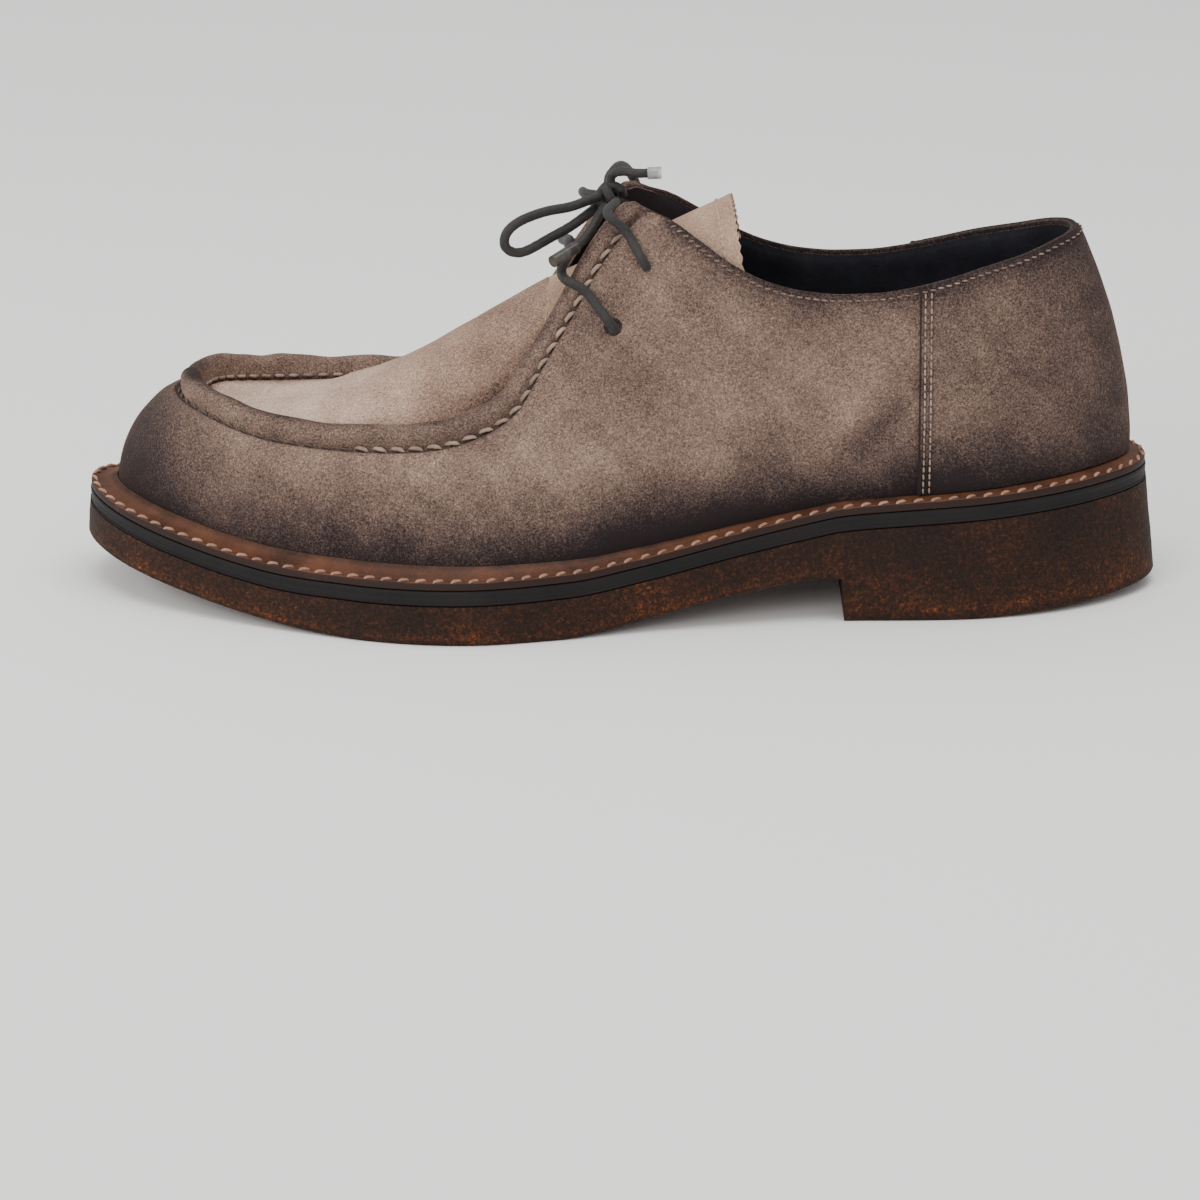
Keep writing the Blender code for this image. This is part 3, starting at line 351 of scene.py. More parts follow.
def folded(w, side):
    """A place past the toe or heel tip comes back on the other side."""
    w, side = np.broadcast_arrays(np.asarray(w, float), np.asarray(side, float))
    past = (w < 0) | (w > 1)
    return np.where(w < 0, -w, np.where(w > 1, 2 - w, w)), np.where(past, -side, side)


def share_of(x):
    """Share of the length, from the toe tip."""
    return np.asarray(x) / SOLE_LENGTH + 0.5


def raw_outline(w, side):
    """Plan point on the sole's outline, before its box is centred."""
    w, side = folded(w, side)
    share = (1 - np.cos(math.pi * w)) / 2
    unit = BALL_WIDTH + (HEEL_WIDTH - BALL_WIDTH) * ease(ARCH_START, ARCH_END, share)
    centre = TOE_SWING * np.clip(1 - share / SWING_END, 0, 1) ** 2
    half = np.where(side < 0, OUTER(w), INNER(w)) * unit
    return np.stack([(share - 0.5) * SOLE_LENGTH, centre + side * half], -1)


# The sole's box is centred on the origin
SAMPLES = np.linspace(0, 1, 400)
MID_Y = (raw_outline(SAMPLES, -1)[:, 1].min() + raw_outline(SAMPLES, 1)[:, 1].max()) / 2
STEP = 1e-4


def outline(w, side, inset=0.0):
    """Plan point on the sole's outline, moved in by inset."""
    here = raw_outline(w, side)
    along = raw_outline(np.asarray(w) + STEP, side) - raw_outline(np.asarray(w) - STEP, side)
    along /= np.linalg.norm(along, axis=-1, keepdims=True)
    inward = np.stack([-along[..., 1], along[..., 0]], -1) * -np.asarray(side, float)[..., None]
    moved = here + inward * np.asarray(inset)[..., None]
    return moved - np.array([0.0, MID_Y]), inward


def underside(x):
    """Height of the sole's underside: the shank, and behind the heel's front face the heel."""
    share = share_of(x)
    shank = TOE_SPRING * LIFT(share) + BREAST_HEIGHT * ARCH(share)
    heel = HEEL_BEVEL * np.clip((share - BEVEL_START) / (1 - BEVEL_START), 0, 1) ** 1.5
    return np.where(share <= BREAST_SHARE + 1e-6, shank, heel)


def welt_top(x):
    """Height of the welt's flat top."""
    share = share_of(x)
    return (TOE_SPRING * LIFT(share) + FOREPART_STACK * THICK(share)
            + (HEEL_STACK - FOREPART_STACK) * RISE(share))


def midsole_top(x):
    return welt_top(x) - WELT_THICKNESS - GAP


def lean(w):
    """How far the top of the sole's side leans in at the back of the heel."""
    w, _ = folded(w, 1)
    return HEEL_LEAN * ease(float(station(LEAN_START)), 1.0, w)


def foot_inset(w):
    """How far in from the sole's outline the upper's foot stands."""
    w, _ = folded(w, 1)
    return WELT_INSET + WELT_WIDTH * WELT_FLAT(w) + GAP


def lip_height(x, w):
    """Height of the welt's raised inner lip."""
    w, _ = folded(w, 1)
    return welt_top(x) + WELT_LIP * LIP(w)


def with_height(plan, height):
    return np.concatenate([plan, np.asarray(height)[..., None]], -1)


def handles(w, side):
    """The four points that a column of the wall is drawn through, foot first."""
    w, side = folded(w, side)
    plan, inward = outline(w, side, foot_inset(w))
    foot = with_height(plan, midsole_top(plan[..., 0]) + GAP)
    top = np.stack([
        (TOP["x"](w) - 0.5) * SOLE_LENGTH,
        (TOP["centre"](w) + side * TOP["half"](w)) * BALL_WIDTH - MID_Y,
        APRON_HEIGHT + (FACING_HEIGHT - APRON_HEIGHT) * TOP["z"](w)], -1)
    out = with_height(-inward, np.zeros(inward.shape[:-1]))
    tall = (top[..., 2] - foot[..., 2])[..., None]
    swell = np.where(side < 0, HANDLE["outer"](w), HANDLE["inner"](w))[..., None]
    up = np.array([0.0, 0.0, 1.0])
    low = foot + up * tall * HANDLE["rise"](w)[..., None] + out * swell * BALL_WIDTH
    high = (top - up * tall * HANDLE["drop"](w)[..., None]
            + out * HANDLE["shoulder"](w)[..., None] * BALL_WIDTH)
    return foot, low, high, top


def wall(w, side, t):
    """Point on the outer face of the wall, t from 0 at its foot to 1 at its upper end."""
    a, b, c, d = handles(w, side)
    t = np.asarray(t, float)[..., None]
    s = 1 - t
    return a * s ** 3 + 3 * b * s * s * t + 3 * c * s * t * t + d * t ** 3


def unit(vectors):
    return vectors / np.linalg.norm(vectors, axis=-1, keepdims=True)


def wall_frame(w, side, t):
    """Point on the wall, the direction up its face, and the direction out of it."""
    w, side, t = np.broadcast_arrays(np.asarray(w, float), side, t)
    here = wall(w, side, t)
    along = unit(wall(w + STEP, side, t) - wall(w - STEP, side, t))
    up = wall(w, side, t + STEP) - wall(w, side, t - STEP)
    up = unit(up - along * (up * along).sum(-1, keepdims=True))
    out = np.cross(along, up) * -np.asarray(side, float)[..., None]
    return here, up, unit(out)


def on_wall(w, side, t, up_by, out_by):
    """Point moved up the wall's face and out of it."""
    here, up, out = wall_frame(w, side, t)
    return here + up * np.asarray(up_by)[..., None] + out * np.asarray(out_by)[..., None]


def solve(test):
    """Where test, an array function of t, changes from negative to positive."""
    low, high = np.zeros(test(0.5).shape), np.ones(test(0.5).shape)
    for _ in range(30):
        middle = (low + high) / 2
        above = test(middle) > 0
        high, low = np.where(above, middle, high), np.where(above, low, middle)
    return (low + high) / 2


def collar_rise(x):
    """Height of the collar line above its lowest point."""
    share = share_of(x)
    full = np.where(share > LOWEST_SHARE, BACK_HEIGHT, FACING_HEIGHT) - TOPLINE_LOW
    return full * COLLAR(share)


def collar_end(w, side):
    """Share of the wall's height at which the collar cuts it."""
    w, side = np.broadcast_arrays(np.asarray(w, float), np.asarray(side, float))

    def over(t):
        here = wall(w, side, np.broadcast_to(t, w.shape))
        return here[..., 2] - TOPLINE_LOW - collar_rise(here[..., 0])
    return solve(over)


def at_height(w, side, height):
    """Share of the wall's height at which it passes a level."""
    w, side = np.broadcast_arrays(np.asarray(w, float), np.asarray(side, float))
    return solve(lambda t: wall(w, side, np.broadcast_to(t, w.shape))[..., 2] - height)


THROAT, CORNER, TOE_CORNER = (
    float(station(share)) for share in (THROAT_SHARE, CORNER_SHARE, TOE_CORNER_SHARE))


def roll_size(w):
    """Width and height of the rolled seam, and how deep the apron lies behind it."""
    facing = ease(float(station(ROLL_THINS_SHARE)), THROAT, w)
    past = ease(THROAT, THROAT + 0.015, w)
    height = ROLL_HEIGHT + (FACING_ROLL_HEIGHT - ROLL_HEIGHT) * facing
    width = ROLL_WIDTH + (FACING_ROLL_WIDTH - ROLL_WIDTH) * facing
    return width, height, ROLL_HEIGHT * (0.36 - 0.18 * past)


def around(stations):
    """Ring of columns: from the heel up the outer side to the toe, and back on the inner side."""
    outer = [(w, -1.0) for w in stations[::-1]]
    inner = [(w, 1.0) for w in stations[1:-1]]
    ring = np.array(outer + inner)
    return ring[:, 0], ring[:, 1]


def seam_base(w, side):
    """Foot of the rolled seam on its inner side, where the apron starts."""
    width, _, deep = roll_size(w)
    return on_wall(w, side, np.ones_like(w), width, -deep)


def apron_grid(outer, inner, front, sink):
    """Rows from the toe to the throat, each from the outer side to the inner side."""
    rows, columns = len(outer), len(front)
    rear = outer[-1] + (inner[-1] - outer[-1]) * np.linspace(0, 1, columns)[:, None]
    u = np.linspace(0, 1, rows)[:, None, None]
    v = np.linspace(0, 1, columns)[None, :, None]
    across = outer[:, None] * (1 - v) + inner[:, None] * v
    along = front[None] * (1 - u) + rear[None] * u
    corners = ((front[0] * (1 - v) + front[-1] * v) * (1 - u)
               + (rear[0] * (1 - v) + rear[-1] * v) * u)
    grid = across + along - corners
    middle = grid[:, columns // 2]
    line = APRON_HEIGHT + (INSTEP_HEIGHT - APRON_HEIGHT) * APRON_LINE(share_of(middle[:, 0])) - sink
    bump = (line - middle[:, 2]) * ease(0.0, 0.35, np.linspace(0, 1, rows))
    grid[..., 2] += bump[:, None] * (1 - np.abs(2 * v[..., 0] - 1) ** 2.2)
    return grid


def place_on_wall(x, height, side):
    """Station and share of the wall's height at a given x and level."""
    near, far = 0.3, 0.9
    for _ in range(22):
        w = np.array([(near + far) / 2])
        t = at_height(w, side, height)
        near, far = (near, w[0]) if wall(w, side, t)[0, 0] > x else (w[0], far)
    return w, t


EYELET_PLACES = {
    (level, side): place_on_wall((share - 0.5) * SOLE_LENGTH, height, side)
    for level, (share, height) in EYELETS.items() for side in (-1.0, 1.0)}


def over_edge(level, side):
    """A run's points from its eyelet up to the top of the rolled edge that it crosses."""
    clear = LACE / 2 + GAP
    w, t = EYELET_PLACES[level, side]
    crossing = np.array([float(station(CROSSINGS[level]))])
    width, roll, _ = roll_size(crossing)
    one = np.ones(1)
    start = on_wall(w, side, t, 0 * one, one * clear)[0]
    seam = on_wall(crossing, side, one, -width * 0.35, one * (clear + LACE * 0.5))[0]
    crest = on_wall(crossing, side, one, width * 0.5, roll + clear * 1.6)[0]
    return [start, (start + seam) / 2 + (seam - crest) * 0.08, seam, crest]


def hex_colour(text):
    """Linear colour of an sRGB hex value."""
    parts = [int(text[i:i + 2], 16) / 255 for i in (1, 3, 5)]
    parts = [p / 12.92 if p <= 0.04045 else ((p + 0.055) / 1.055) ** 2.4 for p in parts]
    return (*parts, 1.0)


def node(tree, kind, inputs=None, **settings):
    """Adds a node: settings are its own values, inputs are constants or sockets to link."""
    made = tree.nodes.new(kind)
    for name, value in settings.items():
        setattr(made, name, value)
    for name, value in (inputs or {}).items():
        if isinstance(value, bpy.types.NodeSocket):
            tree.links.new(value, made.inputs[name])
        else:
            made.inputs[name].default_value = value
    return made


def ramp(tree, factor, stops):
    """Colour between hex stops, each given with its place from 0 to 1."""
    made = node(tree, "ShaderNodeValToRGB", {"Fac": factor})
    elements = made.color_ramp.elements
    while len(elements) < len(stops):
        elements.new(0.5)
    for element, (place, colour) in zip(elements, stops):
        element.position = place
        element.color = hex_colour(colour)
    return made.outputs["Color"]


def material(name, **shader_values):
    """New material, its node tree, its shader and the object's own coordinates in metres."""
    made = bpy.data.materials.new(name)
    made.use_nodes = True
    tree = made.node_tree
    shader = tree.nodes["Principled BSDF"]
    for key, value in shader_values.items():
        shader.inputs[key.replace("_", " ")].default_value = value
    place = node(tree, "ShaderNodeTexCoord").outputs["Object"]
    return made, tree, shader, place


def grain(tree, place, size_mm, detail=2.0, rough=0.6, distortion=0.0):
    """Noise whose features are about size_mm across."""
    return node(tree, "ShaderNodeTexNoise", {
        "Vector": place, "Scale": 1000 / size_mm, "Detail": detail, "Roughness": rough,
        "Distortion": distortion}).outputs["Fac"]


def weigh(tree, *terms):
    """Sum of sockets, each times its weight, plus a constant."""
    total = terms[0]
    for socket, weight in terms[1:]:
        total = node(tree, "ShaderNodeMath", {0: socket, 1: weight, 2: total},
                     operation="MULTIPLY_ADD").outputs[0]
    return total


def bumped(tree, shader, height, distance_mm, strength):
    """Gives the shader a relief of distance_mm from a height socket."""
    bump = node(tree, "ShaderNodeBump", {
        "Height": height, "Distance": distance_mm / 1000, "Strength": strength})
    tree.links.new(bump.outputs["Normal"], shader.inputs["Normal"])


def tone_of(tree):
    """The piece's tone at each point, made with its mesh, painted light and shade included."""
    return node(tree, "ShaderNodeAttribute", attribute_name="tone").outputs["Fac"]


def suede(name, stops):
    """Brushed split leather: short upright nap, mottled, darker or lighter as the piece's tone says,
    painted shade and highlight included.
    """
    made, tree, shader, place = material(
        name, Roughness=0.95, IOR=1.4, Sheen_Weight=0.12, Sheen_Roughness=0.45)
    shader.inputs["Sheen Tint"].default_value = hex_colour("#D8B49A")
    shader.inputs["Specular IOR Level"].default_value = 0.2
    # Real nap is about 0.1 mm across, too fine to show, so it is drawn 0.5 mm across
    nap = grain(tree, place, 0.5, 2.5, 0.75, 0.3)
    tuft = grain(tree, place, 1.3, 3.0, 0.65, 0.8)
    patch = grain(tree, place, 13.0, 4.0, 0.6, 0.5)
    factor = weigh(tree, -0.62, (tone_of(tree), 0.5), (nap, 1.50), (tuft, 0.45), (patch, 0.28))
    tree.links.new(ramp(tree, factor, stops), shader.inputs["Base Color"])
    bumped(tree, shader, weigh(tree, 0.0, (nap, 0.7), (tuft, 0.5)), 0.45, 0.8)
    return made


def leather(name, low, high, roughness, grain_mm, depth_mm, patch_mm):
    """Tanned calf or sole leather, waxed or dyed: fine pebbled grain with darker and lighter patches."""
    made, tree, shader, place = material(name, Roughness=roughness)
    shader.inputs["Specular IOR Level"].default_value = 0.3
    # Real pebbles are about 0.3 mm across; they are drawn coarser, so that they show
    pebble = grain(tree, place, grain_mm, 4.0, 0.6, 0.3)
    patch = grain(tree, place, patch_mm, 4.0, 0.65)
    factor = weigh(tree, -0.3, (tone_of(tree), 0.5), (pebble, 0.5), (patch, 1.1))
    tree.links.new(ramp(tree, factor, [(0.1, low), (0.9, high)]), shader.inputs["Base Color"])
    bumped(tree, shader, pebble, depth_mm, 0.7)
    return made


def crepe_rubber(name):
    """Moulded rubber with ground cork and rust-coloured flecks in it, rough from the mould."""
    made, tree, shader, place = material(name, Roughness=0.72)
    shader.inputs["Specular IOR Level"].default_value = 0.22
    fleck = grain(tree, place, 1.0, 4.0, 0.75, 0.5)
    patch = grain(tree, place, 16.0, 3.0, 0.6)
    factor = weigh(tree, -0.80, (tone_of(tree), 0.3), (fleck, 1.95), (patch, 0.6))
    stops = [(0.05, "#150D09"), (0.42, "#28170F"), (0.62, "#3D2112"), (0.82, "#5F3217"),
             (0.97, "#8E4E22")]
    tree.links.new(ramp(tree, factor, stops), shader.inputs["Base Color"])
    pits = grain(tree, place, 0.5, 3.0)
    bumped(tree, shader, weigh(tree, 0.0, (fleck, 0.6), (pits, 0.5)), 0.35, 0.7)
    return made


def thread(name, low, high, roughness=0.7):
    """Twisted waxed thread or woven cord; its twist is in the mesh."""
    made, tree, shader, place = material(name, Roughness=roughness, Sheen_Weight=0.1)
    # Real fibres are finer than 0.05 mm; they are drawn 0.5 mm across, so that they show
    fibre = grain(tree, place, 0.5, 3.0, 0.7)
    patch = grain(tree, place, 5.0, 3.0, 0.6)
    factor = weigh(tree, -0.35, (tone_of(tree), 0.5), (fibre, 0.9), (patch, 0.7))
    tree.links.new(ramp(tree, factor, [(0.15, low), (0.9, high)]), shader.inputs["Base Color"])
    bumped(tree, shader, fibre, 0.12, 0.6)
    return made


def tip_plastic(name, low, high, through_light):
    """Extruded acetate sleeve shrunk on to the lace's tip."""
    made, tree, shader, place = material(name, Roughness=0.22, IOR=1.48)
    shader.inputs["Transmission Weight"].default_value = through_light
    streak = grain(tree, place, 3.0, 2.0)
    tree.links.new(ramp(tree, streak, [(0.3, low), (0.8, high)]), shader.inputs["Base Color"])
    return made


def ripple(points, size_mm, seed):
    """Smooth unevenness between about -1 and 1 whose waves are size_mm long."""
    rng = np.random.default_rng(seed)
    total = np.zeros(points.shape[:-1])
    for _ in range(7):
        way = rng.normal(size=3)
        way /= np.linalg.norm(way)
        rate = 2 * math.pi / (size_mm / 1000) * rng.uniform(0.6, 1.6)
        total += np.sin(points @ way * rate + rng.uniform(0, 2 * math.pi))
    return total / 3.2


def near_line(points, start, end, width):
    """1 on a line seen from the side, falling off over width; start and end are (x, z)."""
    a, b = np.array(start), np.array(end)
    flat = points[..., [0, 2]] - a
    along = np.clip((flat @ (b - a)) / ((b - a) @ (b - a)), 0, 1)
    away = np.linalg.norm(flat - along[..., None] * (b - a), axis=-1)
    taper = np.sin(math.pi * np.clip(along, 0.02, 0.98)) ** 0.5
    return np.exp(-(away / width) ** 2) * taper


# Folds that wearing has left in the quarters: two ends as (x, z), width, depth and side, metres
FOLDS = (
    ((0.082, 0.065), (0.061, 0.044), 0.0030, -0.0008, -1.0),
    ((0.076, 0.070), (0.054, 0.050), 0.0045, 0.0005, -1.0),
    ((0.020, 0.088), (0.036, 0.066), 0.0055, -0.0005, -1.0),
    ((0.004, 0.074), (0.030, 0.058), 0.0050, 0.0004, -1.0),
    ((-0.050, 0.044), (-0.034, 0.026), 0.0050, -0.0004, -1.0),
    ((-0.014, 0.062), (-0.022, 0.036), 0.0050, -0.0003, -1.0),
    ((0.078, 0.066), (0.056, 0.046), 0.0040, -0.0006, 1.0),
    ((0.026, 0.086), (0.044, 0.060), 0.0055, -0.0005, 1.0),
    ((-0.040, 0.046), (-0.022, 0.028), 0.0050, -0.0005, 1.0),
    ((0.108, 0.060), (0.120, 0.076), 0.0060, -0.0004, -1.0),
)


def worn(points, side):
    """How far the quarters stand out from their smooth shape."""
    out = 0.00022 * ripple(points, 34, 3) + 0.00010 * ripple(points, 12, 5)
    for start, end, width, depth, where in FOLDS:
        out = out + depth * near_line(points, start, end, width) * (side == where)
    return out


def suede_tone_and_shade(points, side):
    """Tone of the suede: below 0 where it is darker, above 0 where it is lighter, painted shade in its
    deepest fold included.
    """
    x, z = points[..., 0], points[..., 2]
    uneven = ripple(points, 30, 11) * 0.35 + ripple(points, 11, 12) * 0.25
    rise = z - (welt_top(x) + WELT_LIP)
    tone = 0.08 + 0.30 * uneven
    # Darker just above the welt, most of all at the waist and beside the heel's front
    tone -= 1.10 * np.exp(-np.clip(rise, 0, 1) / 0.0065) * (0.45 + 0.55 * hump(x, 0.03, 0.05))
    tone -= 0.72 * hump(x, 0.012, 0.038) * hump(rise, 0.0, 0.014)
    tone -= 0.70 * hump(x, 0.092, 0.020) * hump(rise, 0.0, 0.012)
    # Front of the toe, and low on the side behind it
    toe = hump(np.clip(x + 0.1395, 0, 1), 0.0, 0.016) * hump(np.clip(z - 0.054, 0, 1), 0.0, 0.004)
    tone -= 0.92 * toe * (1 + 0.6 * uneven)
    tone -= 0.48 * hump(x, -0.080, 0.045) * hump(rise, 0.004, 0.013)
    # Counter, darker towards the back of the heel
    tone -= 0.17 * ease(0.080, 0.086, x)
    tone -= 0.62 * hump(np.clip(0.139 - x, 0, 1), 0.0, 0.020) * (0.55 + 0.45 * ease(0.06, 0.10, z))
    # Collar's edge
    below = np.clip(TOPLINE_LOW + collar_rise(x) - z, 0, 1)
    below = np.where(share_of(x) > CORNER_SHARE - 0.01, below, 1.0)
    tone -= 0.80 * np.exp(-below / 0.0045) * (1 + 0.3 * uneven)
    # Two places lighter on the quarter
    tone += 0.20 * hump(x, 0.055, 0.035) * hump(z, 0.066, 0.017)
    tone += 0.20 * hump(x, -0.03, 0.05) * hump(z, 0.046, 0.010)
    # Painted shade in the deepest fold, in front of the counter's seam
    start, end, width, _, where = FOLDS[0]
    return tone - 0.42 * near_line(points, start, end, width * 1.2) * (side == where)


def piece(name, points, faces, finishes, tone=None, index=None, sharp=50):
    """A mesh of the shoe with its finishes, its tone at each point and its sharp angle in degrees."""
    mesh = bpy.data.meshes.new(name)
    points = np.asarray(points, float).reshape(-1, 3)
    mesh.from_pydata(points.tolist(), [], faces)
    if isinstance(finishes, bpy.types.Material):
        finishes = [finishes]
    for finish in finishes:
        mesh.materials.append(finish)
    if index is not None:
        mesh.polygons.foreach_set("material_index", np.asarray(index, np.int32))
    values = np.zeros(len(points)) if tone is None else np.asarray(tone, float).ravel()
    attribute = mesh.attributes.new("tone", "FLOAT", "POINT")
    attribute.data.foreach_set("value", values.astype(np.float32))
    mesh.update()
    mesh.shade_smooth()
    mesh.set_sharp_from_angle(angle=math.radians(sharp))
    made = bpy.data.objects.new(name, mesh)
    bpy.context.collection.objects.link(made)
    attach(made, "root")
    return made


def grid_faces(rows, columns, closed=False, flip=False, first=0):
    """Quads of a grid of points that start at first; closed joins each row's end to its start."""
    across = columns if closed else columns - 1
    r, c = np.meshgrid(np.arange(rows - 1), np.arange(across), indexing="ij")
    a = first + r * columns + c
    b = first + r * columns + (c + 1) % columns
    quads = np.stack([a, b, b + columns, a + columns], -1).reshape(-1, 4)
    return (quads[:, ::-1] if flip else quads).tolist()


def tube_faces(rings, columns, first=0):
    """Faces of a tube of rings, both its ends closed."""
    start = [first + j for j in range(columns)]
    end = [(rings - 1) * columns + j for j in start]
    return grid_faces(rings, columns, closed=True, first=first) + [start[::-1], end]


def two_skins(rows, columns):
    """Faces of a sheet: its upper grid, the lower grid that follows it, and the band round both."""
    count = rows * columns
    ids = np.arange(count).reshape(rows, columns)
    edge = [int(i) for i in (*ids[0], *ids[1:, -1], *ids[-1, -2::-1], *ids[-2:0:-1, 0])]
    band = [(a, a + count, b + count, b) for a, b in zip(edge, edge[1:] + edge[:1])]
    return grid_faces(rows, columns), grid_faces(rows, columns, flip=True, first=count), band


# Columns in each stretch of the ring, and rings up the wall, over its rolled seam and down its lining
TOE_FINE, SIDE_FINE, FACING_FINE, QUARTER_FINE = 22, 74, 20, 80
WALL_FINE, ROLL_FINE, LINING_FINE = 34, 14, 22


def dense_stations():
    """Stations of the ring's columns, from the toe tip to the heel."""
    parts = [np.linspace(0, TOE_CORNER, TOE_FINE + 1),
             np.linspace(TOE_CORNER, THROAT, SIDE_FINE + 1)[1:],
             np.linspace(THROAT, CORNER, FACING_FINE + 1)[1:],
             np.linspace(CORNER, 1, QUARTER_FINE + 1)[1:]]
    return np.concatenate(parts)


# Groove under the moccasin seam: distance up the wall from the seam line and out from it, mm
SEAM_PROFILE = ((-4.4, 0.0), (-3.6, 0.0), (-3.0, 0.02), (-2.5, 0.10), (-2.1, 0.16), (-1.8, 0.08),
                (-1.65, -0.22), (-1.3, -0.40), (-0.8, -0.46), (-0.3, -0.40), (-0.05, -0.15))
# Smooth wall under the collar's edge, in the same way
EDGE_PROFILE = ((-4.4, 0.0), (-3.6, -0.02), (-3.0, -0.04), (-2.5, -0.05), (-2.1, -0.06),
                (-1.8, -0.06), (-1.65, -0.05), (-1.3, -0.02), (-0.8, 0.0), (-0.5, 0.0), (-0.2, -0.04))


def upper_shell(suede_skin, apron_skin, lining):
    """The upper, its rolled seam, apron and lining in one skin."""
    stations = dense_stations()
    w, side = around(stations)
    count, toe = len(w), len(stations) - 1
    end = np.where(w > CORNER, collar_end(w, side), 1.0)
    tip = wall(w, side, end)
    # Metres up the wall for a unit of t at its upper end
    speed = np.linalg.norm(tip - wall(w, side, end - 0.002), axis=-1) / 0.002
    # 0 where the wall ends in the rolled seam, 1 where it ends in the collar
    collar = ease(CORNER - 0.004, CORNER + 0.006, w)
    width, height, deep = roll_size(w)
    zero = np.zeros(count)
    rings, tones = [], []

    def add(points, tone):
        rings.append(points)
        tones.append(np.broadcast_to(tone, (count,)))

    # Outer face of the wall, and the groove under the seam
    reach = SEAM_PROFILE[0][0] / 1000
    for k in range(WALL_FINE):
        share = k / WALL_FINE
        t = (end + reach / speed) * share
        plain = on_wall(w, side, t, zero, zero)
        fade = ease(0.0, 0.10, share) * (1 - ease(0.9, 1.0, share))
        add(on_wall(w, side, t, zero, worn(plain, side) * fade), suede_tone_and_shade(plain, side))
    for (up_a, out_a), (up_b, out_b) in zip(SEAM_PROFILE, EDGE_PROFILE):
        up = up_a + (up_b - up_a) * collar
        out = (out_a + (out_b - out_a) * collar) / 1000
        points = on_wall(w, side, end + up / 1000 / speed, zero, out)
        # Painted shade in the groove under the rolled seam, darkest 1 mm below the seam line
        add(points, suede_tone_and_shade(points, side) - 0.55 * (1 - collar) * hump(up, -1.0, 0.9))

    # Rolled seam, or the collar's turned edge
    wobble = 1 + 0.05 * ripple(tip, 9, 21) + 0.05 * ripple(tip, 21, 22)
    for j in range(ROLL_FINE + 1):
        turn = math.pi * j / ROLL_FINE
        bulge = max(math.sin(turn), 0.0)
        over = (1 - math.cos(turn)) / 2
        up_by = (1 - collar) * width * over + collar * WALL * (0.22 * bulge - 0.1)
        out_by = (1 - collar) * height * wobble * bulge ** 0.62 - collar * WALL * over * 0.55
        points = on_wall(w, side, end, up_by, out_by)
        # Painted shade along the near side's inner half; darker round the toe as well
        near_painted_shade = np.where(side < 0, 1.05 * hump(j, 9, 3.0), 0.0) * (1 - 0.6 * ease(0.20, 0.34, w))
        front_dark = hump(w, 0.0, 0.13) * hump(j, 8, 4.5)
        tone = 0.05 - (near_painted_shade + front_dark) * (0.85 + 0.5 * ripple(tip, 25, 31))
        tone = tone * (1 - collar) + collar * (-0.75)
        add(points, tone + 0.1 * ripple(points, 14, 32))
    last_tone = np.where(collar > 0.5, -0.8, -0.75)
    add(on_wall(w, side, end, (1 - collar) * width - collar * WALL * 0.5,
                -(1 - collar) * deep - collar * WALL * 0.6), last_tone)
    last_out = len(rings) - 1

    # Lining, behind that edge and then down the wall
    under = np.where(w <= THROAT + 1e-9, deep + APRON_WALL, WALL)
    for share in (1.0, 0.5, 0.0):
        up_by = (1 - collar) * width * share - collar * WALL * (0.6 + 1.4 * (1 - share))
        sink = WALL + (under - WALL) * share
        sink = sink * (1 - collar) + collar * WALL * (0.62 + 0.38 * (1 - share))
        add(on_wall(w, side, end, up_by, -sink), 0.0)
    for k in range(LINING_FINE)[::-1]:
        t = (end - 0.0045 / speed) * k / LINING_FINE
        plain = on_wall(w, side, t, zero, np.full(count, -WALL))
        wrinkle = 0.00018 * ripple(plain * (1, 1, 2.2), 9, 41) * ease(0.0, 0.2, k / LINING_FINE)
        wrinkle = wrinkle * (1 - ease(0.85, 1.0, k / LINING_FINE))
        add(on_wall(w, side, t, zero, -WALL - np.abs(wrinkle)), 0.0)

    # Skin between the rings, left open where the apron joins them
    points = list(np.concatenate(rings))
    tone = list(np.concatenate(tones))
    rows, half = len(rings), TOE_FINE + SIDE_FINE
    faces, index = [], []
    for r in range(rows):
        s = (r + 1) % rows
        for c in range(count):
            d = (c + 1) % count
            if r == last_out and toe - half <= c < toe + half:
                continue
            faces.append((r * count + c, s * count + c, s * count + d, r * count + d))
            index.append(1 if r > last_out else 0)

    def patch(row, sink, up, kind):
        """One face of the apron: points of its own inside, and a ring's points round them."""
        first = row * count
        ring = np.array(points[first:first + count])
        outer_side = toe - TOE_FINE - np.arange(SIDE_FINE + 1)
        inner_side = toe + TOE_FINE + np.arange(SIDE_FINE + 1)
        front = np.arange(toe - TOE_FINE, toe + TOE_FINE + 1)
        grid = apron_grid(ring[outer_side], ring[inner_side], ring[front], sink)
        long, across = grid.shape[:2]
        from_side = np.minimum(np.arange(across), np.arange(across)[::-1])
        inset = np.minimum(np.arange(long)[:, None] / 8.0, from_side[None] / 6.0)
        inset = np.clip(inset, 0, 1)
        rough = 0.00028 * ripple(grid, 30, 51) + 0.00012 * ripple(grid, 12, 52)
        grid[..., 2] += rough * inset
        # Painted shade along the apron's edges under the rolled seam, and a painted highlight on its
        # front that turns to painted shade towards the throat
        shade = 0.62 + 0.10 * ripple(grid, 24, 53) - 0.85 * (1 - inset) ** 1.5
        shade -= 0.75 * ease(-0.100, -0.035, grid[..., 0])
        table = np.zeros((long, across), int)
        inside = np.arange((long - 1) * (across - 2)).reshape(long - 1, across - 2)
        table[1:, 1:-1] = len(points) + inside
        table[:, 0] = first + outer_side
        table[:, -1] = first + inner_side
        table[0] = first + front
        points.extend(grid[1:, 1:-1].reshape(-1, 3))
        tone.extend(shade[1:, 1:-1].ravel())
        quads = np.stack([table[:-1, :-1], table[1:, :-1], table[1:, 1:], table[:-1, 1:]], -1)
        quads = quads.reshape(-1, 4)
        faces.extend((quads if up else quads[:, ::-1]).tolist())
        index.extend([kind] * len(quads))
        return table[-1].tolist()

